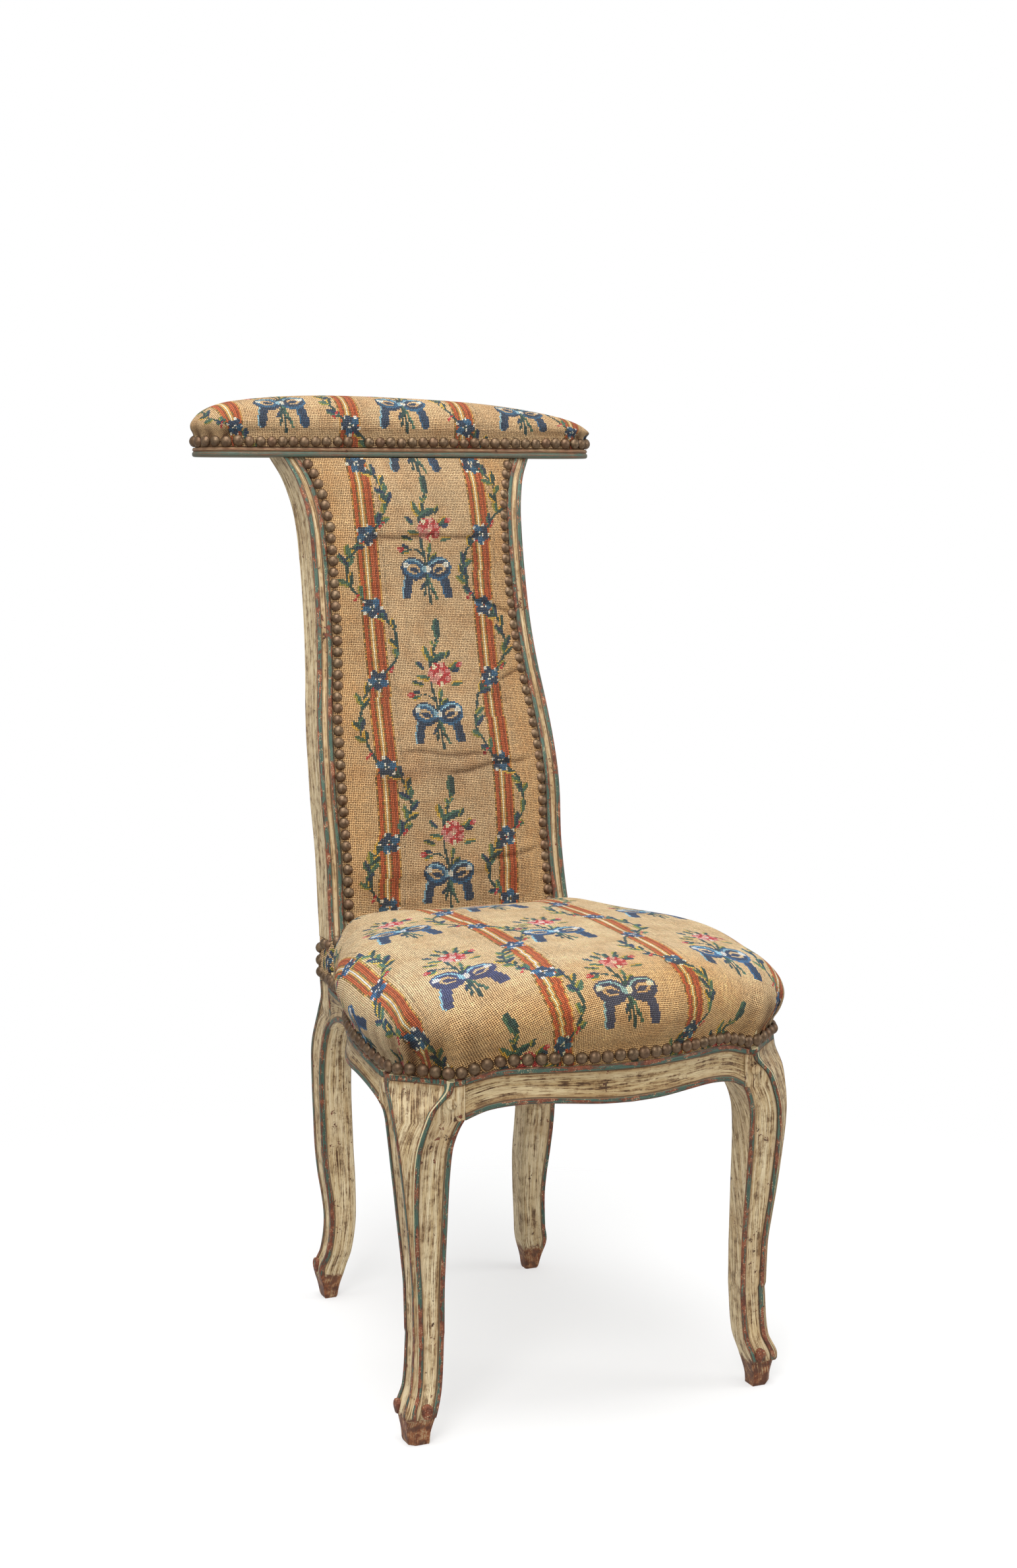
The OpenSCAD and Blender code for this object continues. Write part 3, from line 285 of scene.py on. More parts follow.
def leg_face(z, foot, ankle, knee):
    if z < ankle_h:
        return curve([[0, foot + foot_w / 2], [10, foot + foot_w / 2 + 1.2],
                      [scroll_h, mix(ankle, foot, 0.85) + scroll_w / 2],
                      [scroll_h + 20, mix(ankle, foot, 0.28) + ankle_w / 2 + 0.6], [ankle_h, ankle + ankle_w / 2]], z)
    return mix(ankle + ankle_w / 2, knee, curve(leg_rise, z))


def leg_back(z, foot, ankle, joint, curl):
    if z < ankle_h:
        return curve([[0, foot - foot_w / 2], [10, foot - foot_w / 2 - 0.8],
                      [scroll_h, mix(ankle, foot, 0.85) - scroll_w / 2 + 1.5],
                      [scroll_h + 20, mix(ankle, foot, 0.28) - ankle_w / 2], [ankle_h, ankle - ankle_w / 2]], z)
    return mix(ankle - ankle_w / 2, joint, curve(curl, z))


def leg_cant(z):
    return curve([[0, 5], [scroll_h, 4], [ankle_h, 2.5], [arch_h - 119, 2.5], [arch_h - 89, 4], [arch_h - 64, 6],
                  [arch_h - 39, 9], [arch_h - 24, 12], [arch_h - 9, 17.5], [up(10), cant * 0.66], [up(27), cant],
                  [frame_top, cant]], z)


print("ankle out to", round(float(leg_face(ankle_h, foot_x, ankle_x, knee_x)), 1), "mm")

# %% Moulding
def mould(s, l, plain=0):
    """Depth of the moulding: a round bead at each edge, a hollow between; plain drops the bead at s = 0."""
    b = np.minimum(bead, l / 3)
    e = np.minimum(s + plain, l - s)
    q = 0.9
    inner = q + (hollow - q) * np.sin(np.pi * np.clip((s - b) / (l - 2 * b), 0, 1))
    quirk = 0.45 * np.exp(-((e - b) / 0.55) ** 2)
    return np.where(e < b, q * np.abs(2 * e / b - 1) ** 3, inner) + quirk


def across(l, n=26):
    """Even steps along the hollow, closer ones over each bead."""
    b = min(bead, l / 3)
    k = n // 3
    return np.concatenate([np.linspace(0, b, k), np.linspace(b, l - b, n - 2 * k + 2)[1:-1], np.linspace(l - b, l, k)])


print("moulding", round(float(mould(20, 40)), 2), "mm deep in the middle of a 40 mm face")

# %% Lines of a rear post
def stile_y(z):
    r = post_reach + rake_run
    return -post_reach + curve([[frame_top + 4, 0], [strip_top, r * 0.06], [st(0.06), r * 0.129],
        [st(0.172), r * 0.208], [st(0.324), r * 0.3], [st(0.466), r * 0.454], [st(0.619), r * 0.615],
        [st(0.773), r * 0.744], [st(0.85), r * 0.804], [st(0.917), r * 0.88], [crest_h, r]], z)


def stile_out(z):
    return curve([[frame_top + 4, post_x], [strip_top, mix(post_x, swell_half, 0.6)],
        [st(0.06), mix(post_x, swell_half, 0.95)], [st(0.172), swell_half - 1.5], [st(0.29), swell_half],
        [st(0.392), swell_half - 1.6], [st(0.466), mix(swell_half, waist_half, 0.32)],
        [st(0.544), mix(swell_half, waist_half, 0.63)], [st(0.619), mix(swell_half, waist_half, 0.85)],
        [st(0.695), mix(swell_half, waist_half, 0.97)], [st(0.809), waist_half], [st(0.873), waist_half + 1.2],
        [st(0.917), mix(waist_half, flare_half, 0.23)], [st(0.96), mix(waist_half, flare_half, 0.52)],
        [crest_h, flare_half]], z)


def stile_in(z):
    return stile_out(z) - post_t


def stile_nail(z):
    return stile_out(z) - 2 * bead - 5.5 - nail_d / 2 + 0.4


def post_front(z):
    low = -curve([[0, foot_w / 2], [12, foot_w / 2 + 1.5], [32, foot_w / 2 + 5], [50, 22], [80, 26], [130, 27.5],
        [arch_h - 99, 30], [arch_h - 54, 29.5], [arch_h - 27, 35], [arch_h - 5, 47], [up(8), post_reach - 13],
        [up(16), post_reach], [up(17), post_reach], [frame_top, post_reach]], z)
    return np.where(np.asarray(z) > frame_top + 4, stile_y(z), low)


def post_rear(z):
    high = np.maximum(stile_y(z) + post_d + post_deepen * curve([[strip_top, 0.2], [st(0.2), 0.5], [st(0.46), 0.4],
        [st(0.71), 0.35], [st(0.88), 0.7], [crest_h, 1]], z), -post_reach + post_d + 4)
    low = -curve([[0, -foot_w / 2 + 1], [12, -foot_w / 2], [32, -8.5], [50, -3], [80, 1], [130, -1.5],
        [arch_h - 99, 0.5], [arch_h - 39, -1.2], [arch_h - 19, 3], [arch_h, 15], [up(18), 30],
        [up(36), post_reach - post_d], [frame_top, post_reach - post_d - 4]], z)
    return np.where(np.asarray(z) > frame_top + 4, high, low)


def post_outer(z):
    x = rear_foot_x
    low = curve([[0, x + foot_w / 2 - 1.2], [12, x + foot_w / 2], [30, x + 13.5], [48, x + 8.5], [80, x + 5.8],
        [104, x + 7.4], [130, x + 11.2], [160, x + 14.4], [arch_h - 89, x + 16.2], [arch_h - 39, post_x - 5.2],
        [arch_h, post_x - 4], [up(31), post_x - 1], [frame_top, post_x]], z)
    return np.where(np.asarray(z) > frame_top + 4, stile_out(z), low)


def post_inner(z):
    x = rear_foot_x
    low = curve([[0, x - foot_w / 2 + 1], [12, x - foot_w / 2 + 0.2], [30, x - 14.5], [48, x - 18], [80, x - 21.4],
        [104, x - 21.6], [130, x - 20.8], [160, x - 18.8], [arch_h - 89, x - 17], [arch_h - 39, post_in - 3],
        [up(4), post_in], [frame_top, post_in]], z)
    return np.where(np.asarray(z) > frame_top + 4, stile_in(z), low)


print("stile half width at the waist", round(float(stile_out(st(0.809))), 1))

# %% [markdown]
# ## Making a mesh
# Wood is skinned over cross sections, as a boat is over its ribs. Each point also keeps how far it
# lies from an edge and its place along the grain, because the paint wears by those two; the distance
# from an edge also places the painted shade beside each bead.

# %% Mesh helpers
def place(P):
    """Millimetres from the line of the rear feet to the shared frame in metres."""
    P = np.asarray(P, float) + [0, y_off, 0]
    z = P[..., 2]
    P[..., 2] = np.where(z < scroll_h, z - foot_drop * (1 - z / scroll_h), z) + foot_drop
    return P / 1000


def run_of(P):
    """Distance along a line of points, from its first point."""
    return np.r_[0, np.cumsum(np.linalg.norm(np.diff(P, axis=0), axis=1))]


def quads(m, n, closed=True):
    """Faces between m rows of n points; closed joins the last point of a row to its first."""
    return [(i * n + j, i * n + (j + 1) % n, (i + 1) * n + (j + 1) % n, (i + 1) * n + j)
            for i in range(m - 1) for j in range(n if closed else n - 1)]


def outward(P, F):
    """The faces of a closed form, turned so that they look out."""
    q = np.array([f[:3] for f in F])
    volume = np.einsum("ij,ij->i", np.cross(P[q[:, 0]], P[q[:, 1]]), P[q[:, 2]]).sum()
    return [f[::-1] for f in F] if volume < 0 else F


def piece(me, name, slot, stands_for):
    """Hangs a mesh on the frame, names its finish and the solids that it stands for."""
    o = bpy.data.objects.new(name, me)
    bpy.context.scene.collection.objects.link(o)
    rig.ride(o, "root")
    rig.slot(o, slot)
    if stands_for:
        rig.replaces(o, *stands_for)
    return o


def mesh(name, points, faces, layers, slot="painted_wood", stands_for=(), smooth=50):
    """A piece from points, faces and layers of one vector a point; edges above smooth stay sharp."""
    me = bpy.data.meshes.new(name)
    me.from_pydata([tuple(p) for p in points], [], [tuple(int(i) for i in f) for f in faces])
    me.validate()
    for key, values in layers.items():
        a = me.attributes.new(key, "FLOAT_VECTOR", "POINT")
        a.data.foreach_set("vector", np.asarray(values, float).reshape(-1))
    me.polygons.foreach_set("use_smooth", [True] * len(me.polygons))
    if smooth:
        me.set_sharp_from_angle(angle=math.radians(smooth))
    return piece(me, name, slot, stands_for)

# %% Lofts
def loft(name, sections, extra=(), **kw):
    """Skin over sections of equal count, closed at both ends; extra is carving that joins the mesh.

    A section is its points in millimetres, their tone (distance from an edge, which face, how far
    across it) and their wood (place along the grain)."""
    P, T, W = (np.asarray(v, float) for v in zip(*sections))
    P = place(P)
    m, n = P.shape[:2]
    P, T, W = (v.reshape(m * n, 3) for v in (P, T, W))
    P, T, W = (np.vstack([v, v[:n].mean(0), v[-n:].mean(0)]) for v in (P, T, W))
    F = quads(m, n)
    for j in range(n):
        F += [(m * n, (j + 1) % n, j), (m * n + 1, (m - 1) * n + j, (m - 1) * n + (j + 1) % n)]
    F = outward(P, F)
    for points, faces, tone, wood in extra:
        F += [tuple(k + len(P) for k in f) for f in faces]
        P, T, W = np.vstack([P, points]), np.vstack([T, tone]), np.vstack([W, wood])
    return mesh(name, P, F, {"tone": T, "wood": W}, **kw)


def mirrored(o, name, stands_for=()):
    """The same piece for the other side, with its own stretch of grain."""
    me = o.data.copy()
    me.name = name
    for data, key, scale, move in ((me.vertices, "co", [-1, 1, 1], [0, 0, 0]),
                                   (me.attributes["wood"].data, "vector", [1, 1, 1], [37, 910, 5])):
        v = np.empty(len(data) * 3)
        data.foreach_get(key, v)
        data.foreach_set(key, (v.reshape(-1, 3) * scale + move).reshape(-1))
    me.flip_normals()
    return piece(me, name, "painted_wood", stands_for)

# %% [markdown]
# ## Front legs
# Each front leg is one piece of wood with the corner block of the seat. Its two outer faces carry
# a bead at each edge and a hollow between; a canted panel fills the corner and dies into the arris.
# Sections at close heights are lofted, so the beads and the hollow are real shape and catch light.

# %% Carved scroll of a foot
def volute(centre, out, r=5.3):
    """A raised button with a groove that winds in to its eye."""
    out = np.array(out, float)
    e1 = np.array([-out[1], out[0], 0])
    rows, n = np.r_[1.0, np.linspace(1, 0.08, 16)], 40
    m = len(rows)
    a = np.arange(n) * 2 * math.pi / n
    groove = 0.36 + 0.5 * (a / (2 * math.pi))
    P = []
    for i, q in enumerate(rows):
        dome = 2.0 * math.sqrt(max(0, 1 - (q * 0.96) ** 4))
        h = -2.2 if i == 0 else dome - 0.75 * np.exp(-((q - groove) * r / 0.62) ** 2)
        P.append(np.array(centre) + np.outer(np.cos(a) * r * q, e1)
                 + np.c_[0 * a, 0 * a, np.sin(a) * r * 1.2 * q] + np.outer(h + 0 * a, out))
    P = np.vstack(P + [[P[-1].mean(0)]])
    F = quads(m, n) + [((m - 1) * n + j, (m - 1) * n + (j + 1) % n, m * n) for j in range(n)]
    p, q, s = P[list(F[-1])]
    if np.dot(np.cross(q - p, s - p), out) < 0:
        F = [f[::-1] for f in F]
    wood = np.c_[P[:, 0] + P[:, 1], P[:, 2], np.full(len(P), 21.0)]
    return place(P), F, np.tile((3.2, 11, 0.3), (len(P), 1)), wood

# %% Front legs
ledge_h = scroll_h - 5                     # the carved ankle ends here over a plain foot block
under_nails = 6.5                          # the cloth hangs this far below the line of nails


def foot_shelf(z):
    """The plain foot block stands a little inside the carved ankle above it."""
    return float(np.interp(z, [0, 2.5, ledge_h - 0.7, ledge_h + 0.5], [2.4, 1.4, 2.6, 0]))


def joint_low(foot, ankle, joint, curl):
    """Height where the leg's inner side has reached the rail."""
    return next(z for z in np.arange(arch_h - 90, frame_top, 0.5)
                if abs(leg_back(z, foot, ankle, joint, curl) - joint) < 0.3)


joint_low_front = joint_low(foot_x, ankle_x, joint_x, front_curl)
joint_low_side = joint_low(foot_reach, ankle_reach, joint_y, side_curl)
print("joints start at", joint_low_front, joint_low_side)

# %% Section of a front leg
def leg_planes(z):
    """Outer x and y, then inner x and y, of a front leg at one height."""
    return (leg_face(z, foot_x, ankle_x, knee_x), leg_face(z, foot_reach, ankle_reach, front_reach),
            leg_back(z, foot_x, ankle_x, joint_x, front_curl),
            leg_back(z, foot_reach, ankle_reach, joint_y, side_curl))


def leg_section(z):
    shelf = foot_shelf(z)
    xo, yo, xi, yi = leg_planes(z)
    xo, yo = xo - lean_in(z) - shelf, yo - shelf
    c, top = leg_cant(z), z > nail_corner_h - under_nails
    cut = rebate if top else 0
    k = 0 if top else float(np.interp(z, [ledge_h - 0.6, ledge_h + 0.8, ledge_h + 12], [0, 0.75, 1]))
    lf, ls = xo - c - xi, yo - c - yi
    lift = curve([[up(7), 0], [nail_corner_h - 7, 1], [nail_corner_h + 6, 1], [frame_top, 0]], z)
    tilt = curve([[arch_h - 49, 0], [arch_h, 1], [frame_top, 1]], z)
    # where a rail joins, its side has no bead; a painted band runs under the nails
    plain_f, plain_s = (float(np.interp(z, [low, low + 5], [0, 30])) for low in (joint_low_front, joint_low_side))
    under = max(nail_corner_h - under_nails - z, 0)
    P, T = [], []
    s = across(lf)
    x = xi + s
    P.append(np.c_[x, -yo + mould(s, lf, plain_f) * k + cut - tilt * (-front_reach - front_y(x)),
                   z + lift * (nail_front(x) - nail_corner_h)])
    T.append(np.c_[np.minimum(np.minimum(s + plain_f, lf - s), under), 0 * s + 1, s / lf])
    t = np.linspace(0, 1, 16)[1:-1]
    dish = 0.9 * np.clip(c / 20, 0, 1) * (1 - (2 * t - 1) ** 2) * k
    P.append(np.c_[xo - c + t * c - cut * 0.7 - dish * 0.7, -yo + t * c + cut * 0.7 + dish * 0.7, 0 * t + z])
    T.append(np.c_[np.minimum(np.minimum(t, 1 - t) * c * 1.4 + 5.5, under), 0 * t + 2, t])
    s = across(ls)
    y = -yo + c + s
    P.append(np.c_[xo - mould(ls - s, ls, plain_s) * k - cut, y, z + lift * (nail_side(y) - nail_corner_h)])
    T.append(np.c_[np.minimum(np.minimum(s, ls - s + plain_s), under), 0 * s + 3, s / ls])
    inner = [(mix(xo, xi, t), -yi) for t in np.linspace(0.06, 0.9, 8)]
    inner += [(xi + 3.2, -yi - 0.3), (xi + 1.2, -yi - 1.2), (xi + 0.3, -yi - 3.2)]
    inner += [(xi, mix(-yi, -yo, t)) for t in np.linspace(0.16, 0.94, 8)]
    n = len(inner)
    P.append(np.c_[np.array(inner), np.full(n, z)])
    T.append(np.c_[np.full(n, 20.0), np.full(n, 4), np.linspace(0, 1, n)])
    P, T = np.vstack(P), np.vstack(T)
    return P, T, np.c_[run_of(P[:, :2]), P[:, 2], np.full(len(P), 1.0)]

# %% Front legs, lofted
zs = np.unique(np.r_[np.linspace(0, 3, 4), np.linspace(3, scroll_h + 20, 36),
                     ledge_h + np.array([-0.7, -0.2, 0.2, 0.5, 0.9, 1.3]),
                     np.linspace(scroll_h + 20, arch_h - 45, 50), np.linspace(arch_h - 45, nail_corner_h - 7, 56),
                     nail_corner_h - 6.4, np.linspace(nail_corner_h - 5, frame_top, 6)])
z = ledge_h + 6.4
xo, yo, xi, yi = leg_planes(z)
scrolls = [volute((xi + 10, -yo + 0.8, z), (0, -1, 0)), volute((xo - 0.8, -yi - 3.5, z), (1, 0, 0))]
leg = loft("leg_front_right", [leg_section(z) for z in zs], extra=scrolls, stands_for=["front_leg_right"])
mirrored(leg, "leg_front_left", stands_for=["front_leg_left"])
print("front leg points", len(leg.data.vertices))

# %% [markdown]
# ## Rear posts
# A rear leg and the stile above it are one sawn and shaped piece. It is lofted in two lengths,
# because the leg has its moulding on the side and the stile has one on the front as well.

# %% Rear posts
def post_section(z, stile):
    xo, xi, yf, yb = post_outer(z), post_inner(z), post_front(z), post_rear(z)
    block = (not stile) and z > nail_rear_h - 7
    cut = rebate - 0.8 if block else 0
    moulded = float(np.interp(z, [ledge_h - 0.6, ledge_h + 0.8, ledge_h + 14], [0, 0.6, 1]))
    k = 0 if block else 1 if stile else moulded
    if not stile:
        taper = float(np.interp(z, [0, 2.5, ledge_h + 2], [3.2, 2.2, 0]))
        xo, xi, yf, yb = xo - taper, xi + taper * 0.6, yf + taper, yb - taper * 0.4
    xn = stile_nail(z) + nail_d / 2 if stile else mix(xi, xo, 0.6)
    l, ls = xo - xn, yb - yf
    flare = curve([[strip_top, 0], [st(0.38), 1], [st(0.67), side_flare], [crest_h, side_flare]], z)
    inn = rebate + 0.9 if stile else cut
    P = [[x, yf + inn, z] for x in (xi + 1.5, mix(xi, xn, 0.5), xn - 0.4)]
    T = [[20, 4, 0.5]] * 3
    for a in across(l):
        P.append([xn + a, yf + (mould(a, l) if stile else cut), z])
        edge = min(a, l - a) if stile else max(l - a, 0) + (20 if a < l / 2 else 0.8)
        T.append([edge, 5 if stile else 6, a / l])
    for a in across(ls):
        d = -0.5 * math.sin(math.pi * a / ls) if stile else -(mould(ls - a, ls) * k * 0.8 + cut)
        P.append([xo + flare * a / ls + d, yf + 1.5 + a * (ls - 3) / ls, z])
        T.append([20 if stile else min(a, ls - a), 7, a / ls])
    for x, y in ([xo + flare - 1, yb - 0.4], [xo + flare - 3, yb], [mix(xo, xi, 0.36), yb],
                 [mix(xo, xi, 0.68), yb], [xi + 3, yb], [xi + 0.8, yb - 0.8], [xi, yb - 3],
                 [xi, mix(yf, yb, 0.5)], [xi, yf + inn + 1.5]):
        P.append([x, y, z])
        T.append([20, 8, 0.5])
    P, T = np.array(P, float), np.array(T, float)
    return P, T, np.c_[run_of(P[:, :2]), P[:, 2], np.full(len(P), 3.0)]

# %% Rear posts, lofted
zs = np.unique(np.r_[np.linspace(0, 2, 3), np.linspace(2, 64, 34), np.linspace(64, arch_h - 30, 46),
                     np.linspace(arch_h - 30, nail_rear_h - 7.1, 34),
                     np.linspace(nail_rear_h - 6.6, strip_top + 1, 10)])
z = ledge_h + 9
scroll = volute((float(post_outer(z)) - 0.8, float(post_rear(z)) - 6.5, z), (1, 0, 0), 6.2)
post = loft("post_lower_right", [post_section(z, False) for z in zs], extra=[scroll],
            stands_for=["rear_post_right"])
mirrored(post, "post_lower_left", stands_for=["rear_post_left"])
zs = np.unique(np.r_[np.linspace(strip_top - 1, strip_top + 20, 8),
                     np.linspace(strip_top + 20, crest_h - seam, 130)])
mirrored(loft("stile_right", [post_section(z, True) for z in zs]), "stile_left")
print("rear posts done")

# %% [markdown]
# ## Rails and crest board
# The rails swing in and out in plan and are cut in a shallow arch below. Their outer face has a
# bead along each edge; above it a rebate is sunk for the cloth. The crest board is long with
# round ends, so its rim is drawn once and carried round its outline.

# %% Seat rails
def rail_section(lo, edge):
    """Points as (depth into the rail, height) and tone, from the lower edge up, over and back."""
    s, h = across(edge - lo, 30), edge - lo
    P = [[mould(a, h), lo + a] for a in s]
    T = [[min(a, h - a), 9, a / h] for a in s]
    back = ([rebate, edge + 0.6], [rebate, mix(edge, frame_top, 0.5)], [rebate, frame_top],
            [rail_t * 0.6, frame_top], [rail_t - 1, frame_top], [rail_t, frame_top - 1],
            [rail_t, mix(edge, frame_top, 0.5)], [rail_t, edge], [rail_t, mix(lo, edge, 0.66)],
            [rail_t, mix(lo, edge, 0.33)], [rail_t, lo + 4], [rail_t - 1, lo + 1.2], [rail_t - 4, lo],
            [rail_t * 0.66, lo], [rail_t * 0.33, lo], [rail_t * 0.12, lo - 0.2])
    return np.array(P + list(back), float), np.array(T + [[20, 4, 0.5]] * len(back), float)


def grain(n, run, seed):
    return np.c_[np.arange(n) * 1.0, np.full(n, run), np.full(n, seed)]


def front_rail_section(x):
    q, t = rail_section(front_low(x), nail_front(x) - 7)
    return np.c_[np.full(len(q), x), front_y(x) + q[:, 0], q[:, 1]], t, grain(len(q), x + 400, 7.0)


def side_rail_section(y):
    q, t = rail_section(side_low(y), nail_side(y) - 7)
    lean = np.where(q[:, 0] < rail_t / 3, knee_lean - lean_in(q[:, 1]), 0) * side_f(y) ** 2
    return np.c_[side_x(y) - q[:, 0] + lean, np.full(len(q), y), q[:, 1]], t, grain(len(q), y + 1900, 9.0)


loft("rail_front", [front_rail_section(x) for x in np.linspace(joint_x - seam, -joint_x + seam, 120)],
     stands_for=["front_rail"])
rail = loft("rail_right", [side_rail_section(y) for y in np.linspace(-joint_y + seam, -post_reach - seam, 130)],
            stands_for=["side_rail_right"])
mirrored(rail, "rail_left", stands_for=["side_rail_left"])
print("rails done, lowest at", round(float(front_low(joint_x)), 1))

# %% Crest board
x0 = crest_w / 2 - crest_d / 2
rim = [(-crest_d / 2 + 2, 0), (-3, 0), (-1.2, 0.3), (-0.3, 1.2), (0, 2.6), (-0.1, 4), (-0.9, 5), (-1.5, 5.4),
       (-0.9, 5.9), (-0.3, 7), (-0.6, 8.3), (-1.4, 9.2), (-rebate, 9.5), (-rebate, crest_t - 0.6),
       (-rebate - 0.6, crest_t), (-crest_d / 2 + 2, crest_t)]
loop = [(x0, math.cos(a), math.sin(a)) for a in np.linspace(-math.pi / 2, math.pi / 2, 40)]
loop += [(x, 0, 1) for x in np.linspace(x0, -x0, 40)[1:-1]]
loop += [(-x0, math.cos(a), math.sin(a)) for a in np.linspace(math.pi / 2, 3 * math.pi / 2, 40)]
loop += [(x, 0, -1) for x in np.linspace(-x0, x0, 40)[1:-1]]
loop = np.array(loop)                      # x, and the direction out, all round the board


def rim_section(d, h):
    r, n = crest_d / 2 + d, len(loop)
    P = np.c_[loop[:, 0] + loop[:, 1] * r, crest_mid + loop[:, 2] * r, np.full(n, crest_h + h)]
    T = np.c_[np.full(n, 2.7 if 0 < h < 9.4 and d > -2 else 20), np.full(n, 10.0), np.full(n, h / 20)]
    return P, T, np.c_[np.full(n, h * 2 + d), P[:, 0] + 2600, np.full(n, 11.0)]


loft("crest_rim", [rim_section(d, h) for d, h in rim], stands_for=["crest_board"], smooth=35)
print("crest rim", len(loop), "points round; wood pieces done")

# %% [markdown]
# ## Needlework
# The covers are canvas worked in wool, so each cover is a net with one cell to a stitch.
# A cell's place on the chair comes from its place on the flat canvas, so the pattern bends as
# the cloth does. A plain surface with a picture laid on it would stretch at the corners.

# %% Seat net: the form of the cushion
stitch = 1.75
rear_edge, rear_lean, rear_corner = -post_reach - 4, 7.5, 20
seat_top, seat_mid = frame_top + seat_crown, np.array([0, -front_reach * 0.56])
# each level of the cushion: how far it swells, how far it goes to the middle, its height
levels = [[0, 0, -6.5], [0, 0, 7], [0.62, 0, 18], [1, 0, 31], [0.7, 0, 45], [0, 0.015, 57], [0, 0.08, 66],
          [0, 0.22, 0.5], [0, 0.42, 0.74], [0, 0.66, 0.96], [0, 0.88, 1]]
tuck = [0, 0.1, 0.42, 0.6, 0.95, 1.1, 1, 0.85, 0.6, 0.3, 0.1]
half = [[x, rear_edge, 0, 1] for x in np.linspace(0, 98, 24)]
half += [[float(side_x(y)) - rebate, y, 1, 0] for y in mix(rear_edge, -front_reach + cant, np.linspace(0, 0.94, 60))]
half += [[mix(knee_x, knee_x - cant, f) - rebate * 0.7, mix(-front_reach + cant, -front_reach, f) + rebate * 0.7,
          mix(1, 0.15, f), -mix(0.15, 1, f)] for f in np.linspace(0.06, 0.94, 16)]
half += [[x, float(front_y(x)) + rebate, 0.1 * x / joint_x, -1] for x in np.linspace(joint_x + 2, 6, 40)]
outline = np.array(half + [[0, float(front_y(0)) + rebate, 0, -1]]
                   + [[-h[0], h[1], -h[2], h[3]] for h in half[:0:-1]])
n_out = len(outline)


def is_rear(x, y):
    return y >= rear_edge - 0.5 and abs(x) < post_in


def hem_z(x, y):
    """Height of the nailed edge at a point of the outline."""
    if is_rear(x, y):
        return frame_top + 7
    x = abs(x)
    return nail_side(y) if y > -front_reach + cant else nail_front(x) if x < knee_x - cant else nail_corner_h


def seat_column(p):
    """The eleven levels above one point of the nailed edge."""
    x, y, nx, ny = p
    l = math.hypot(nx, ny)
    nx, ny, h = nx / l, ny / l, float(hem_z(x, y))
    near = float(curve([[0, 1], [0.1, 0.5], [0.2, 0.18], [0.34, 0]], side_f(y)))
    rear = is_rear(x, y)
    out = []
    for k, (o, f, r) in enumerate(levels):
        d = (0 if rear else o * seat_swell * (1 - near) - near * rear_corner * tuck[k]) + cloth_t + 0.25
        qx, qy = x + (0 if rear else nx * d), y + (rear_lean * min(k, 6) / 6 if rear else ny * d)
        if k >= 7:
            z = mix(seat_top - 24 if rear else h + 66, seat_top, r)
        elif rear:
            z = mix(frame_top + 1.2, seat_top - 24, k / 6)
        else:
            z = mix(h + r, seat_top - 8, 0 if k < 5 else (k - 4) * 0.08)
        out.append([mix(qx, seat_mid[0], f), mix(qy, seat_mid[1], f), z])
    return out


def evened(a):
    """Each value with a quarter of each neighbour, round a closed line."""
    return (np.roll(a, 1, 0) + 2 * a + np.roll(a, -1, 0)) / 4


print("seat edge", n_out, "points in", len(levels), "levels")

# %% Seat net: walls and shoulder
table = np.array([seat_column(p) for p in outline])            # around, level, xyz
round_off = np.array([3, 3, 3, 5, 8, 12, 14, 14, 14, 14, 14])
for i in range(14):
    table = np.where((i < round_off)[None, :, None], evened(table), table)
kk = np.linspace(0, 10, 161)
dense = np.stack([[curve(np.c_[np.arange(11), col[:, c]], kk) for c in range(3)] for col in table])
dense = np.transpose(dense, (0, 2, 1))                          # around, 161, xyz
k_rim = 88                                                      # level 5.5 is the shoulder
wall, dome = dense[:, k_rim::-1], dense[:, k_rim:]
arc = np.concatenate([np.zeros((n_out, 1)), np.cumsum(np.linalg.norm(np.diff(wall, axis=1), axis=2), axis=1)], axis=1)
d_max = arc[:, -1]
wall_u = np.stack([[np.interp(np.linspace(0, d_max[i], 61), arc[i], wall[i, :, c]) for c in range(3)]
                   for i in range(n_out)])
wall_u = np.transpose(wall_u, (0, 2, 1))
rim_xy = dense[:, k_rim, :2]
rad = np.linalg.norm(rim_xy - seat_mid, axis=1)
ratio = np.linalg.norm(dome[:, :, :2] - seat_mid, axis=2) / rad[:, None]
centre_z = dome[:, -1, 2].mean()
dome_z = np.stack([np.interp(np.linspace(0, 1, 61), np.r_[0, ratio[i, ::-1]], np.r_[centre_z, dome[i, ::-1, 2]])
                   for i in range(n_out)])
fine_j = np.arange(n_out * 12) / 12
rim_fine = np.stack([np.interp(fine_j, np.arange(n_out + 1), np.r_[rim_xy[:, c], rim_xy[0, c]])
                     for c in range(2)], 1)
for _ in range(60):
    rim_fine = evened(rim_fine)
rim_tree = kdtree.KDTree(len(rim_fine))
for i, (a, b) in enumerate(rim_fine):
    rim_tree.insert((a, b, 0), i)
rim_tree.balance()
hem_xy = wall[:, -1, :2]
hem_run = np.r_[0, np.cumsum(np.linalg.norm(np.roll(hem_xy, -1, 0) - hem_xy, axis=1))]
tangent = np.roll(hem_xy, -1, 0) - np.roll(hem_xy, 1, 0)
wall_out = np.c_[tangent[:, 1], -tangent[:, 0]] / np.linalg.norm(tangent, axis=1)[:, None]
wall_out *= np.sign((wall_out * (hem_xy - seat_mid)).sum(1))[:, None]
corner_j, corner_mid, folds = 92, np.array([knee_x - 62, -front_reach + 62]), 5
print("seat outline", n_out, "points, shoulder", len(rim_fine))

# %% Seat net: laying the canvas
def between(T, i0, i1, j, fi, fj):
    """Value between four neighbours of a table."""
    return mix(mix(T[i0, j], T[i0, j + 1], fj), mix(T[i1, j], T[i1, j + 1], fj), fi)


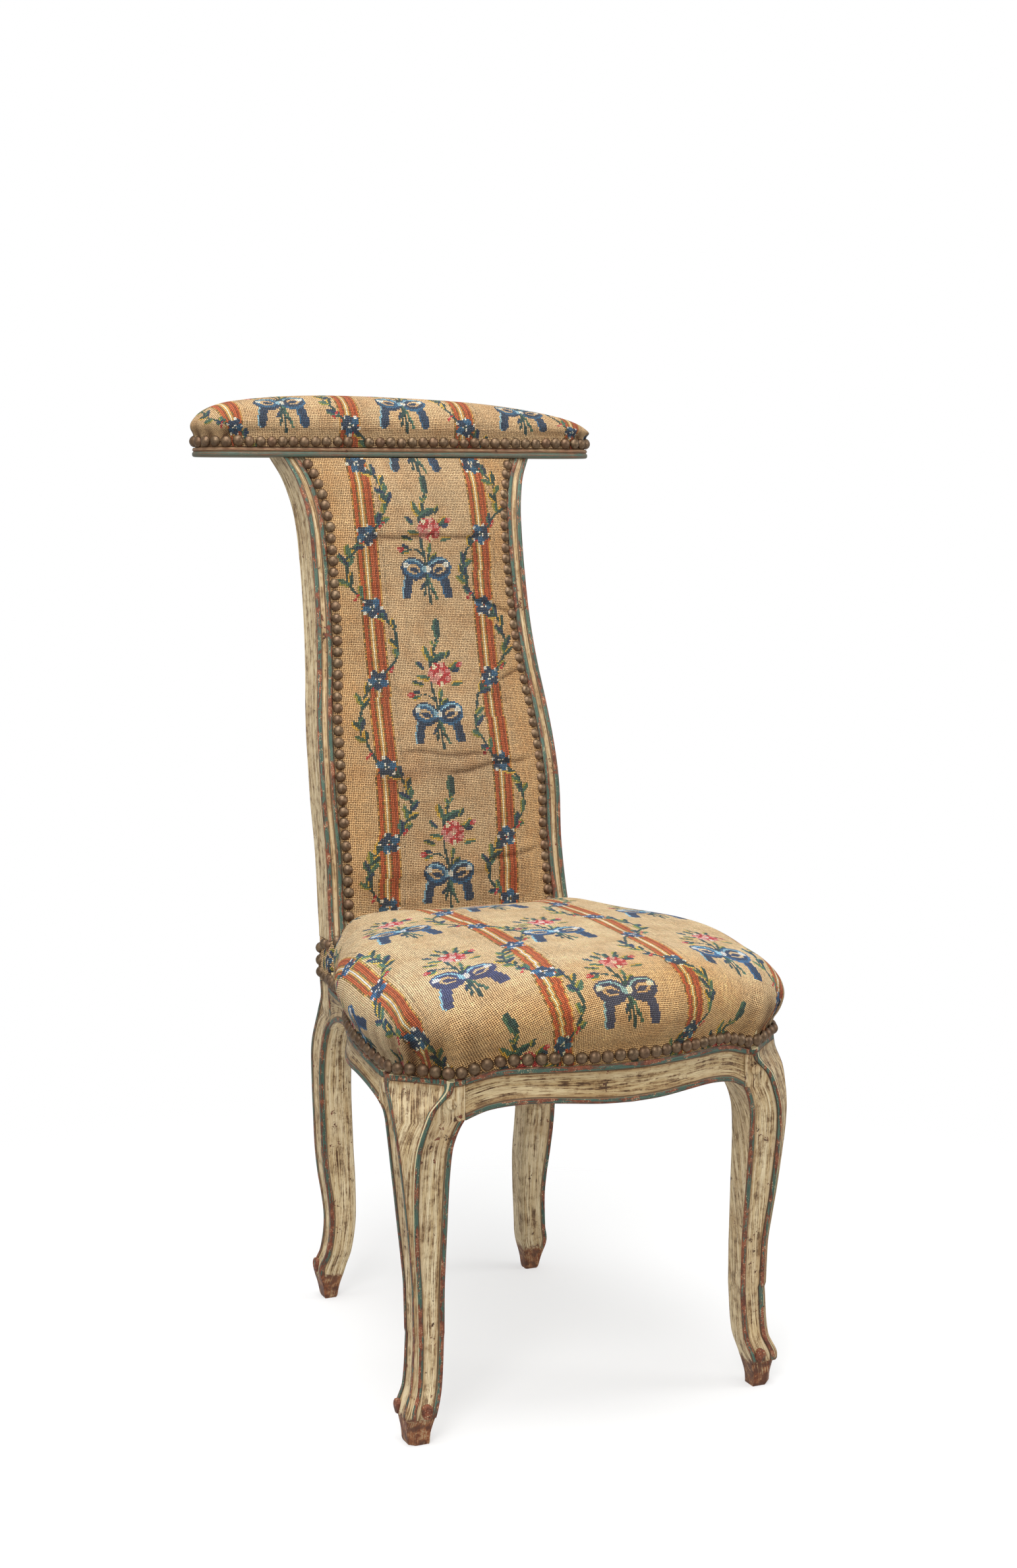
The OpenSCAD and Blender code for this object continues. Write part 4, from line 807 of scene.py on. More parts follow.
def seat_point(U, V):
    """Canvas millimetres to the seat: straight over the top, down the nearest side at the edge."""
    p = np.stack([U, V], -1).reshape(-1, 2)
    ang = np.arctan2(rim_xy[:, 0] - seat_mid[0], rim_xy[:, 1] - seat_mid[1])
    order = np.argsort(ang)
    turns = np.r_[ang[order], ang[order[0]] + 2 * math.pi]
    th = np.arctan2(p[:, 0] - seat_mid[0], p[:, 1] - seat_mid[1])
    j = np.interp(np.where(th < turns[0], th + 2 * math.pi, th), turns, np.arange(n_out + 1))
    j0 = np.floor(j).astype(int)
    fj = j - j0
    ja, jb = order[j0 % n_out], order[(j0 + 1) % n_out]
    r = np.linalg.norm(p - seat_mid, axis=1) / mix(rad[ja], rad[jb], fj)
    g = np.clip(r, 0, 1) * 60
    g0 = np.minimum(g.astype(int), 59)
    res = np.c_[p, between(dome_z, ja, jb, g0, fj, g - g0)]
    near, dist = np.array([rim_tree.find((a, b, 0))[1:] for a, b in p]).T
    # the nearest point of the shoulder, evened out so that neighbouring stitches stay in order
    turn = np.exp(2j * np.pi * near.reshape(U.shape) / len(rim_fine))
    for _ in range(5):
        for axis in (0, 1):
            turn = (np.roll(turn, 1, axis) + turn + np.roll(turn, -1, axis)) / 3
    j = (np.angle(turn) % (2 * np.pi) / (2 * np.pi) * n_out).reshape(-1)
    # gathers: at each front corner the spare cloth goes into small folds
    fold_at = np.zeros(len(p))
    for side in (-1, 1):
        mid_j = corner_j if side > 0 else n_out - corner_j
        from_mid = (j - mid_j + n_out / 2) % n_out - n_out / 2
        spread = np.arctan2(p[:, 1] - corner_mid[1], side * (p[:, 0] - side * corner_mid[0]))
        ease = np.clip(1 - np.abs(from_mid) / 17, 0, 1) ** 0.7 * np.clip((dist - 16) / 30, 0, 1)
        wave = spread * folds * 4
        j = j + ease * 0.42 * np.sin(wave) * side
        fold_at += ease * (0.5 - 0.5 * np.cos(wave + 0.6 * np.sin(spread * 9)))
    i0 = np.floor(j).astype(int) % n_out
    ft = j - np.floor(j)
    i1 = (i0 + 1) % n_out
    deep = mix(d_max[i0], d_max[i1], ft)
    low = np.clip(dist / deep, 0, 1)
    a0 = np.minimum((low * 60).astype(int), 59)
    outside = between(wall_u, i0, i1, a0, ft[:, None], (low * 60 - a0)[:, None])
    # the hem is drawn in a little at each nail and stands a little proud between them
    along = mix(hem_run[i0], hem_run[i1] + (i0 == n_out - 1) * hem_run[-1], ft)
    ripple = 0.35 * np.cos(2 * np.pi * along / nail_pitch) * np.exp(-((1 - low) * deep / 9) ** 2)
    push = ripple - 2.4 * fold_at * np.clip(1.25 - low, 0.25, 1)
    outside[:, :2] += wall_out[i0] * push[:, None]
    beyond = r > 1
    res[beyond] = outside[beyond]
    over = np.where(beyond, np.where(dist <= deep, low, 1), 0)
    shade = np.where(beyond, np.clip(0.9 * fold_at ** 1.6 + 0.3 * np.exp(-((1 - low) * deep / 4) ** 2), 0, 0.9), 0)
    return res.reshape(U.shape + (3,)), over.reshape(U.shape), shade.reshape(U.shape)

# %% [markdown]
# ## Stuffing
# A cover swells where the stuffing pushes and is held where the nails are. Blender's Cloth finds
# that push on a coarse copy, where it is quick, and the fine net is moved by it.

# %% Cloth and nets
def cells_of(use, n):
    """Row and column of each used cell, and its four corners in a grid n wide."""
    jj, ii = np.nonzero(use)
    a = jj * n + ii
    return np.c_[ii, jj], np.c_[a, a + 1, a + n + 1, a + n]


def puffed(us, vs, point, most=2.2, step=5.0):
    """The stuffing's push, from Blender's Cloth on a coarse copy of the cover held at its hem."""
    gu, gv = np.arange(us[0], us[-1] + step, step), np.arange(vs[0], vs[-1] + step, step)
    U, V = np.meshgrid(gu, gv)
    P, over, _ = point(U, V)
    rest = place(P.reshape(-1, 3))
    inside = over < 1
    _, F = cells_of(inside[:-1, :-1] & inside[1:, :-1] & inside[:-1, 1:] & inside[1:, 1:], U.shape[1])
    used, inv = np.unique(F, return_inverse=True)
    count = np.bincount(inv.reshape(-1))
    me = bpy.data.meshes.new("cloth_copy")
    me.from_pydata(rest[used].tolist(), [], inv.reshape(-1, 4).tolist())
    o = bpy.data.objects.new("cloth_copy", me)
    bpy.context.scene.collection.objects.link(o)
    hem = o.vertex_groups.new(name="hem")
    hem.add([int(k) for k in np.nonzero((count < 4) | (over.reshape(-1)[used] > 0.9))[0]], 1.0, "REPLACE")
    m = o.modifiers.new("Cloth", "CLOTH")
    m.settings.vertex_group_mass = "hem"
    m.settings.use_pressure, m.settings.uniform_pressure_force = True, 4.0
    m.settings.effector_weights.gravity = 0
    m.settings.mass, m.settings.quality = 0.3, 5
    for frame in range(1, 21):
        bpy.context.scene.frame_set(frame)
    ready = o.evaluated_get(bpy.context.evaluated_depsgraph_get()).data
    q = np.array([v.co[:] for v in ready.vertices])
    normal = np.array([v.normal[:] for v in me.vertices])
    bpy.context.scene.frame_set(1)
    bpy.data.objects.remove(o)
    bpy.data.meshes.remove(me)
    out = np.maximum(((q - rest[used]) * normal).sum(1), 0)
    print("cloth swells by up to", round(1000 * float(out.max()), 1), "mm, brought under", most)
    out = most / 1000 * (1 - np.exp(-out / (0.4 * out.max())))
    move = np.zeros(P.shape).reshape(-1, 3)
    move[used] = normal * out[:, None]
    move = move.reshape(P.shape)

    def read(U, V):
        x, y = np.clip((U - gu[0]) / step, 0, len(gu) - 1.001), np.clip((V - gv[0]) / step, 0, len(gv) - 1.001)
        i, j = x.astype(int), y.astype(int)
        return between(move, j, j + 1, i, (y - j)[..., None], (x - i)[..., None])
    return read

# %% Nets
def net(name, us, vs, point, stands_for):
    """One face a stitch, as far as the cover's hem."""
    U, V = np.meshgrid(us, vs)
    P, over, shade = point(U, V)
    push = np.zeros(P.shape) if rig.quick() else puffed(us, vs, point)(U, V)
    push *= np.clip((1 - over) / 0.2, 0, 1)[..., None]
    ok = over < 1
    cells, F = cells_of(ok[:-1, :-1] | ok[1:, :-1] | ok[:-1, 1:] | ok[1:, 1:], U.shape[1])
    ids, inv = np.unique(F, return_inverse=True)
    P, push, U, V, shade = (v.reshape(len(shade.reshape(-1)), -1)[ids] for v in (P, push, U, V, shade))
    o = mesh(name, place(P) + push, inv.reshape(-1, 4), {"thread": np.hstack([U / stitch, V / stitch, shade])},
             slot="needlework", stands_for=stands_for, smooth=0)
    print(name, len(F), "stitches")
    return o, cells


us, vs = np.arange(-150, 151) * stitch, np.arange(-330, 1) * stitch
seat, seat_cells = net("seat_needlework", us, vs, seat_point, ["seat_cover", "seat_stuffing"])

# %% [markdown]
# ## Back and crest covers
# The back is flat and tight, with a few old creases across it; the crest is a narrow roll. Both
# are laid from the flat canvas too, so their ribbons run on from the seat's.

# %% Back net
def back_puff(u, z):
    """How far the back stands proud; u is 0 at the nails and 1 in the middle."""
    e = np.minimum(1, (crest_h - z) / 26) * 0.75 + 0.25
    b = np.clip((z - strip_top) / 60, 0.35, 1)
    return back_crown * b * e * (1 - np.clip((1 - u - 0.02) / 0.98, 0, 1) ** 3.4)


zz = np.linspace(strip_top, crest_h, 300)
stile_run = np.r_[0, np.cumsum(np.hypot(np.diff(zz), np.diff(stile_y(zz))))]
# each crease: its height on the canvas, its slope, where it starts and ends, its depth
creases = [(403, 0, -62, 70, 0.9), (160, 0.12, -5, 100, 1.1), (180, -0.08, -50, 60, 0.6), (348, -0.25, 40, 104, 1.0),
           (60, 0.2, 30, 104, 0.8), (232, 0.3, 60, 104, 0.8), (12, 0, -90, 90, 0.6)]


def back_point(U, V):
    z = np.interp(V, stile_run, zz)
    w = stile_nail(z) + nail_d / 2 - 0.7
    x = np.clip(U, -w, w)
    u = 1 - np.abs(x) / w
    y = stile_y(z) + rebate + 0.55 - strap_t - cloth_t - back_puff(u, z)
    sink, shade = np.zeros(U.shape), 0.35 * np.exp(-((1 - np.abs(U) / w) * w / 4) ** 2)
    for v0, rise, lo, hi, depth in creases:
        line_v = v0 + rise * U + 1.6 * np.sin(U / 11 + v0)
        along = np.clip((U - lo) / 14, 0, 1) * np.clip((hi - U) / 14, 0, 1)
        sink += depth * along * np.exp(-((V - line_v) / 2.6) ** 2)
        sink -= depth * 0.8 * along * np.exp(-((V - line_v - 6) / 5) ** 2)
        shade += 0.6 * along * np.exp(-((V - line_v) / 1.8) ** 2)
    sink += 0.5 * np.sin(V / 27 + 2 * np.sin(U / 40)) * np.sin(U / 33 + V / 90)
    return np.stack([x, y + sink, z], -1), np.abs(U) / w, np.clip(shade, 0, 0.8)


us_b, vs_b = np.arange(-64, 65) * stitch, np.arange(1, int(stile_run[-1] / stitch) + 1) * stitch
back, back_cells = net("back_needlework", us_b, vs_b, back_point, ["back_cover", "back_stuffing"])

# %% Crest net
crest_swell = [0, 0, 0.035, 0.035, -0.04, -0.17, -0.38, -0.64, -0.88]
r0 = crest_d / 2 - rebate + 0.25 + cloth_t


def crest_point(U, V):
    xs = np.clip(U, -x0, x0)
    dx, dy = U - xs, V
    rho = np.hypot(dx, dy)
    kk = np.linspace(0, 8, 81)
    g = curve([[i, 1 + (2 * a if a > 0 else a)] for i, a in enumerate(crest_swell)], kk)
    lo = curve([[0, -crest_t + 10], [1, -crest_t + 21], [1.6, 0]], kk)
    hi = curve([[1, 0], [2, 0.18], [3, 0.4], [4, 0.62], [5, 0.78], [6, 0.9], [7, 0.97], [8, 1]], kk)
    r = np.r_[g * r0, 0][::-1]
    zl, zh = np.r_[np.minimum(lo, 0), 0][::-1], np.r_[hi, 1][::-1]
    s = np.r_[0, np.cumsum(np.hypot(np.diff(r), np.diff(zl + zh * crest_crown)))]
    rr, a, b = (np.interp(rho, s, q) for q in (r, zl, zh))
    with np.errstate(all="ignore"):
        nx, ny = np.where(rho > 0, dx / rho, 0), np.where(rho > 0, dy / rho, 0)
    x, y = xs + nx * rr, ny * rr
    d = np.abs(x) / (crest_w / 2)
    crown = crest_crown * (1 - 0.5 * np.minimum(d, 1.02) ** 3) - crest_wear * x / (crest_w / 2)
    over = rho / s[-1]
    tuck_at = 0.5 - 0.5 * np.cos(np.arctan2(dy, np.abs(dx) + 1e-6) * 14)
    fold = tuck_at * np.clip((np.abs(U) - x0) / 12, 0, 1) * np.clip((over - 0.55) / 0.3, 0, 1)
    x, y = x - nx * 1.1 * fold, y - ny * 1.1 * fold
    shade = 0.7 * fold ** 1.5 + 0.5 * np.exp(-((1 - over) * s[-1] / 4) ** 2) + 0.3 * np.exp(-((V + 60) / 1.5) ** 2)
    return np.stack([x, crest_mid + y, crest_h + crest_t + a + b * crown], -1), over, np.clip(shade, 0, 0.8)


us_c, vs_c = np.arange(-150, 151) * stitch, np.arange(-52, 53) * stitch
crest, crest_cells = net("crest_needlework", us_c, vs_c, crest_point, ["crest_cover", "crest_stuffing"])

# %% [markdown]
# ## Drawing the needlework
# The flat canvas is drawn cell by cell before it is laid over the chair: striped ribbons of rust
# and cream, a leafy vine that crosses each ribbon at a small blue flower, and between the ribbons
# a rose on its stem, tied with a blue bow. Every cell takes one colour, as one stitch does.

# %% Wool colours
def tint(code):
    """Linear light from the usual six-figure colour."""
    c = np.array([int(code[i:i + 2], 16) for i in (0, 2, 4)]) / 255
    return np.where(c < 0.04, c / 12.92, ((c + 0.055) / 1.055) ** 2.4)


wool = {k: tint(v) for k, v in dict(
    ground="E2BA86", rust="C05A30", rust_dark="9A4526", ochre="D8A254", olive="7A6234", cream="F6E6BE",
    brown="8A6442", navy="1F3D5C", blue="2A6288", sky="8FBCCC", white="ECE8D6", violet="3C4468",
    green="234A4E", leaf="47715F", lime="A29C48", yellow="D9B14A", red="C2363E", pink="E0938A",
    rose="E9B09C").items()}
print(len(wool), "wools")

# %% Drawing tools
upright = 1.57


class Canvas:
    """A flat piece of canvas; lengths in millimetres, seen from its right side."""

    def __init__(self, us, vs, seed):
        self.u, self.v = np.meshgrid((us[:-1] + us[1:]) / 2, (vs[:-1] + vs[1:]) / 2)
        self.rgb = np.tile(wool["ground"], self.u.shape + (1,))
        self.worked = np.zeros(self.u.shape)
        self.r = np.random.default_rng(seed)

    def fill(self, mask, colour):
        self.rgb[mask] = wool[colour]
        self.worked[mask] = colour != "ground"

    def some(self, mask, share):
        """A random share of the masked cells."""
        return mask & (self.r.uniform(size=mask.shape) > 1 - share)

    def blob(self, x, y, a, b, turn, colour):
        c, s = math.cos(turn), math.sin(turn)
        p, q = (self.u - x) * c + (self.v - y) * s, -(self.u - x) * s + (self.v - y) * c
        self.fill((p / a) ** 2 + (q / b) ** 2 < 1, colour)

    def petal(self, x, y, way, far, a, b, turn, colour):
        """A blob some way out from a point."""
        self.blob(x + math.cos(way) * far, y + math.sin(way) * far, a, b, turn, colour)

    def line(self, pts, width, colour, gaps=0):
        d = np.full(self.u.shape, 1e9)
        for (ax, ay), (bx, by) in zip(pts[:-1], pts[1:]):
            ex, ey = bx - ax, by - ay
            t = np.clip(((self.u - ax) * ex + (self.v - ay) * ey) / (ex * ex + ey * ey + 1e-9), 0, 1)
            d = np.minimum(d, np.hypot(self.u - ax - t * ex, self.v - ay - t * ey))
        m = d < width / 2
        if gaps:
            m &= self.r.uniform(size=m.shape) > gaps
        self.fill(m, colour)

    def leaf(self, x, y, turn, l, w, dark="green", light="lime"):
        """A pointed leaf with a pale side and a dark side."""
        c, s = math.cos(turn), math.sin(turn)
        cx, cy = x + c * l / 2, y + s * l / 2
        self.blob(cx, cy, l / 2, w / 2, turn, light)
        self.blob(cx + s * w * 0.22, cy - c * w * 0.22, l * 0.5, w * 0.34, turn, dark)

    def leaves(self, x, y, rows):
        """Leaves at places and turns measured from an upright stem."""
        for a, b, turn, l, w, dark, light in rows:
            self.leaf(x + a, y + b, upright + turn, l, w, dark, light)

    def bud(self, x, y, turn, l):
        c, s = math.cos(turn), math.sin(turn)
        self.leaf(x - s * 1.5, y + c * 1.5, turn + 0.3, l, l * 0.42, "leaf", "yellow")
        self.leaf(x + s * 1.5, y - c * 1.5, turn - 0.3, l * 0.9, l * 0.42, "navy", "green")
        self.petal(x, y, turn, l, l * 0.42, l * 0.27, turn, "red")
        self.petal(x, y, turn, l * 1.2, l * 0.2, l * 0.14, turn, "pink")

    def flower(self, x, y, r):
        """Five blue petals, white between their tips and in the middle."""
        start = self.r.uniform(0, 6.28)
        for k in range(5):
            a = start + k * 1.2566
            self.petal(x, y, a, r * 0.56, r * 0.44, r * 0.38, a, ("navy", "blue")[k % 2])
            self.petal(x, y, a + 0.25, r * 0.9, r * 0.13, r * 0.16, 0, "white")
        for k in range(3):
            self.petal(x, y, start + 0.9 + k * 2.1, r * 0.22, r * 0.11, r * 0.11, 0, "white")

    def rose(self, x, y, r):
        """Pink petals drawn round with broken red lines."""
        self.blob(x, y, r, r * 0.95, 0, "rose")
        for k in range(7):
            a = k * 0.8976 + 0.3
            px, py = x + math.cos(a) * r * 0.72, y + math.sin(a) * r * 0.7
            self.blob(px, py, r * 0.36, r * 0.34, 0, "red" if k != 4 else "pink")
            self.petal(px, py, a + 0.5, r * 0.1, r * 0.24, r * 0.2, a, ("pink", "rose", "cream")[k % 3])
        for k in range(4):
            a = k * 1.6 + 0.9
            self.petal(x, y, a, r * 0.33, r * 0.26, r * 0.13, a + 1.2, "red" if k % 2 else "pink")
        self.blob(x + r * 0.1, y - r * 0.1, r * 0.14, r * 0.14, 0, "cream")

    def ribbon(self, x):
        """One striped ribbon, thirteen stitches wide, running up the canvas."""
        k = np.floor((self.u - curve(x, self.v)) / stitch + 6.5).astype(int)
        for i, c in enumerate(("olive", "rust", "rust", "olive", "ochre", "cream", "ochre", "olive", "rust",
                               "rust", "rust_dark", "rust", "ochre")):
            self.fill(k == i, c)
        self.fill(self.some(k == 0, 0.4), "ochre")
        self.fill(self.some((k == 3) | (k == 7), 0.5), "rust_dark")
        self.fill(self.some(k == 12, 0.3), "olive")
        self.rgb[self.some(k == 15, 0.6)] *= 0.62

    def vine(self, x, heights, side):
        """Winds from flower to flower, first to that side and then to the other."""
        t = np.linspace(0, 1, 31)
        for y, top in zip(heights[:-1], heights[1:]):
            sway = side * (23 * np.sin(math.pi * t) ** 0.75 + 1.2 * np.sin(5 * math.pi * t + self.r.uniform(0, 3)))
            pts = [(float(curve(x, mix(y, top, a))) + q, mix(y, top, a)) for q, a in zip(sway, t)]
            self.line(pts, 2.7, "green")
            for i, a in enumerate((4, 9, 13, 17, 21, 25)):
                (px, py), (qx, qy) = pts[a], pts[a + 2]
                way = math.atan2(qy - py, qx - px)
                for lr in (-1, 1):
                    if self.r.uniform() < 0.72:
                        turn = way + lr * self.r.uniform(0.35, 0.75)
                        self.leaf(px, py, turn, self.r.uniform(10.5, 15), self.r.uniform(5, 6.4),
                                  ("green", "navy", "leaf")[(i + lr) % 3], ("lime", "yellow", "leaf")[(i + lr + 1) % 3])
            for a, lr in ((3, side), (27, -side)):
                px, py = pts[a]
                for q in (-1.9, 1.9):
                    self.blob(px + lr * 6 + q * 0.7, py + 3 + q, 2.1, 1.5, 0.7, "red")
                self.blob(px + lr * 6, py + 3, 0.9, 0.9, 0, "pink")
            side = -side
        for y in heights:
            self.flower(float(curve(x, y)), y, 11)

    def bow(self, x, y, s, tone):
        """Two loops and two tails in one blue, the left loop shaded against the right one."""
        half_tone = "blue" if tone == "navy" else tone
        for lr in (-1, 1):
            cx, cy, turn = x + lr * s * 0.5, y + s * 0.06, lr * 0.3
            tail = [(x + lr * s * a, y - s * b) for a, b in ((0.66, 0.2), (0.76, 0.5), (0.84, 0.92))]
            near, far = (tone, half_tone) if lr < 0 else (half_tone, tone)
            self.line([(a - s * 0.07, b) for a, b in tail], s * 0.3, "sky" if lr < 0 else half_tone)
            self.line(tail, s * 0.3, tone)
            for dx, dy, a, b, colour in ((0, 0, 0.52, 0.43, near), (0.01, 0.06, 0.42, 0.31, "sky"),
                                         (0.02, -0.01, 0.42, 0.3, far), (0.03, 0, 0.27, 0.18, "ground"),
                                         (-0.02, -0.03, 0.2, 0.09, tone)):
                self.blob(cx + lr * s * dx, cy + s * dy, s * a, s * b, turn, colour)
            self.blob(cx + lr * s * 0.3, cy + s * 0.14, s * 0.13, s * 0.1, 0, "white")
        for q, colour in ((-1, "sky"), (1, "white")):
            self.blob(x + q * s * 0.07, y + s * 0.03, s * 0.1, s * 0.13, 0, colour)

    def sprig(self, x, y, tone="navy", tall=True, size=27):
        """A rose and its leaves over a tied bow; y is the height of the knot."""
        def stem(width, *pts, colour="green", gaps=0):
            self.line([(x + a, y + b) for a, b in pts], width, colour, gaps)

        for q, l, c in ((-4, 26, "green"), (2, 34, "green"), (9, 29, "leaf")):
            stem(2.5, (0, 0), (q * 0.5, -l * 0.6), (q, -l), colour=c)
        self.leaf(x + 3, y - 18, -0.9, 8, 3.6, "green", "leaf")
        self.leaf(x - 3, y - 13, -2.1, 8, 3.6, "navy", "green")
        stem(2.8, (0, 0), (-1, 14), (-4, 28), (-4, 40))
        stem(2.6, (0, 0), (3, 12), (5, 24))
        self.leaves(x, y, ((4, 10, -0.8, 11, 4.8, "green", "lime"), (4, 17, -0.1, 10, 4.2, "leaf", "lime")))
        stem(2.2, (-2, 15), (-9, 21), (-18, 22), gaps=0.25)
        self.bud(x - 17, y + 21, upright + 1.5, 9.5)
        self.leaves(x, y, ((-5, 37, 1.35, 14, 5.6, "leaf", "yellow"), (13, 46, -1.2, 14, 6, "green", "lime")))
        self.bud(x + 19, y + 47, upright - 1.15, 10)
        if tall:
            stem(2.8, (-4, 42), (-3, 56), (2, 67), (6, 78), (8, 90))
            self.leaves(x, y, [(a, b, t, l, l * 0.36 + 0.6, dark, light) for a, b, t, l, dark, light in (
                (-4, 55, 0.35, 17, "leaf", "yellow"), (-2, 56, -1.15, 18, "green", "leaf"),
                (3, 70, 0.5, 7, "leaf", "lime"), (4, 72, -0.6, 7, "leaf", "lime"), (7, 79, 0.02, 21, "green", "leaf"))])
        else:
            self.leaves(x, y, [(a, b, t, 12, 5, "green", "leaf")
                               for a, b, t in ((-2, 50, 0.5), (5, 52, -0.1), (10, 50, -0.7))])
        self.rose(x + 6, y + 42, 12)
        self.leaves(x, y, ((-13, 31, 1.25, 13, 4.6, "green", "lime"), (17, 31, -1.35, 13, 4.6, "leaf", "yellow"),
                           (-11, 47, 0.7, 11, 4.6, "navy", "leaf"), (14, 58, -0.5, 10, 4.6, "green", "lime"),
                           (1, 60, 0.15, 10, 4.6, "green", "yellow")))
        self.bow(x, y, size, tone)

    def sun(self, share, gold, pale):
        """Yellower where share is 1, paler where it is 0: the wool's own colour, and on the seat's top partly painted
        light.
        """
        self.rgb[:] = np.minimum(self.rgb * mix(np.array(pale), np.array(gold), share[..., None]), 0.9)

    def age(self, stains):
        """Uneven dye, worn ground and brown stains given as (u, v, half width, half height, strength)."""
        h, w = self.u.shape
        self.rgb *= (1 + self.r.normal(0, 0.11, (h, w, 1)) + self.r.normal(0, 0.04, (1, w, 1))
                     + self.r.normal(0, 0.04, (h, 1, 1)))
        slow = sum(np.sin(self.u / a + p) * np.sin(self.v / b + q)
                   for a, b, p, q in ((31, 47, 1, 2), (17, 23, 4, 0), (9, 13, 2, 5)))
        self.rgb *= (1 + 0.05 * slow)[..., None]
        for u, v, a, b, k in stains:
            d = ((self.u - u) / a) ** 2 + ((self.v - v + 4 * np.sin(self.u / 13)) / b) ** 2
            f = k * np.exp(-d) * (0.75 + 0.25 * self.r.uniform(size=d.shape))
            self.rgb *= 1 - f[..., None] * np.array([0.45, 0.62, 0.75])

    def dye(self, o, cells):
        """Each face takes its stitch's colour; alpha says whether it is worked or bare canvas."""
        c = np.dstack([self.rgb, self.worked])[cells[:, 1], cells[:, 0]]
        a = o.data.color_attributes.new("wool", "FLOAT_COLOR", "CORNER")
        a.data.foreach_set("color", np.repeat(np.clip(c, 0, 1), 4, axis=0).reshape(-1))

# %% Canvas of the back
b = Canvas(us_b, vs_b, 3)
ribbons = ([[28, -68], [93, -65], [257, -61], [480, -60]], [[28, 63], [250, 61], [330, 61], [404, 65], [480, 66]])
for x in ribbons:
    b.ribbon(x)
for x in ribbons:
    b.vine(x, [28, 93, 169, 257, 331, 405, 480, 556], -1)
for x, y in ((-4, 58), (-2, 219), (0, 368), (4, 500)):
    b.sprig(x, y)
b.sun(np.clip((np.abs(b.u) - 55) / 35, 0, 1), (0.93, 0.82, 0.64), (0.87, 0.87, 0.88))
b.age([(-34, 160, 42, 9, 0.8), (34, 168, 34, 6, 0.5), (0, 180, 80, 20, 0.3), (-10, 403, 66, 4, 0.6),
       (48, 350, 12, 8, 0.4), (72, 235, 14, 10, 0.4)])
b.dye(back, back_cells)

# %% Canvas of the seat
s = Canvas(us, vs, 5)
ribbons = ([[-450, -204], [-410, -190], [-290, -192], [-100, -190]],
           [[-505, -80], [-420, -65], [-330, -58], [-100, -64]],
           [[-508, 74], [-427, 61], [-330, 60], [-100, 60]], [[-440, 198], [-400, 190], [-100, 186]])
for x in ribbons:
    s.ribbon(x)
for x in ribbons:
    s.vine(x, [-575, -499, -422, -342, -264, -186, -108, -30], -1)
for x, y0 in ((-124, -387), (-5, -464), (128, -387), (-248, -464), (248, -464)):
    s.sprig(x, y0 - 159, size=30)
    for y in range(y0, 40, 149):
        s.sprig(x, y, "violet" if y < -380 and x < 50 else "navy", tall=False, size=30)
# the seat's front drop yellower and its top paler: partly the wool's own colour, partly painted light on the top
s.sun(np.clip((-s.v - 395 + 12 * np.sin(s.u / 40)) / 60, 0, 1), (1.1, 0.99, 0.74), (1.2, 1.36, 1.6))
s.age([(-60, -470, 60, 6, 0.15), (60, -495, 80, 6, 0.2)])
s.dye(seat, seat_cells)

# %% Canvas of the crest
c = Canvas(us_c, vs_c, 7)
for x in (-190, -65, 61, 186):
    c.ribbon([[-100, x], [100, x]])
    c.vine([[-100, x], [100, x]], [-134, -57, 19, 95], 1)
for x in (-135, -5, 128, 250):
    c.sprig(x, -30, tall=False)
c.age([(0, -60, 150, 3, 0.25)])
c.dye(crest, crest_cells)
print("needlework drawn")

# %% [markdown]
# ## Webbing, linings and pegs
# Under the covers the seat and the back stand on jute webbing, woven over and under where the
# bands cross. A band is a thin loft along its own line; a lining is one sheet with a little slack.

# %% Bands
def skins(name, pieces, slot, stands_for):
    """Several closed lofts in one mesh; a piece is (rings, cloth or wood place of each point)."""
    P, W, F = [], [], []
    for rings, wood in pieces:
        R = np.asarray(rings, float)
        m, n = R.shape[:2]
        start, flat = sum(len(p) for p in P), R.reshape(-1, 3)
        f = quads(m, n) + [tuple(range(n))[::-1], tuple((m - 1) * n + j for j in range(n))]
        F += [[start + k for k in g] for g in outward(flat, f)]
        P.append(flat)
        W.append(np.asarray(wood, float).reshape(-1, 3))
    P, W = np.vstack(P), np.vstack(W)
    layers = {"wood": W, "tone": np.tile((20, 4, 0.5), (len(P), 1))}
    return mesh(name, place(P), F, layers, slot=slot, stands_for=stands_for, smooth=40)


def band(path, side, wide, thick, seed):
    """Rings of one strap along path, lying flat to its side vector."""
    path, side = np.asarray(path, float), np.asarray(side, float)
    t = np.gradient(path, axis=0)
    t /= np.linalg.norm(t, axis=1)[:, None]
    normal = np.cross(t, side)
    s = np.linspace(-1, 1, 13)
    run = run_of(path)
    half_t = thick / 2 * (1 - 0.35 * np.abs(s) ** 9)
    row_s, row_t = np.r_[s, s[::-1]] * wide / 2, np.r_[half_t, -half_t[::-1]]
    wobble = 0.35 * np.sin(run / 17 + seed)[:, None, None]
    rings = path[:, None] + side * (row_s[None, :, None] + wobble) + normal[:, None] * row_t[None, :, None]
    shape = (len(path), len(row_s))
    across, along = np.broadcast_to(row_s, shape), np.broadcast_to(run[:, None], shape)
    wood = np.stack([across, along, np.full(shape, seed * 9.0)], -1)
    return rings, wood


def woven(a, b, marks, up_first, c, e):
    """Height of a strap that passes over and under the ones at marks."""
    over = [(c if i % 2 == up_first else -c) for i in range(len(marks))]
    t = np.linspace(a, b, 110)
    h = np.interp(t, [m + q for m in marks for q in (-e, e)], np.repeat(over, 2))
    first, last = marks[0] - e, marks[-1] + e
    if first - 9 > a:
        h = np.where(t < first, np.interp(t, [a, first - 9, first], [-c, -c, over[0]]), h)
    if last + 9 < b:
        h = np.where(t > last, np.interp(t, [last, last + 9, b], [over[-1], -c, -c]), h)
    return t, h


def level(v, x):
    """A column of one value beside a line of points."""
    return np.full(len(x), v)

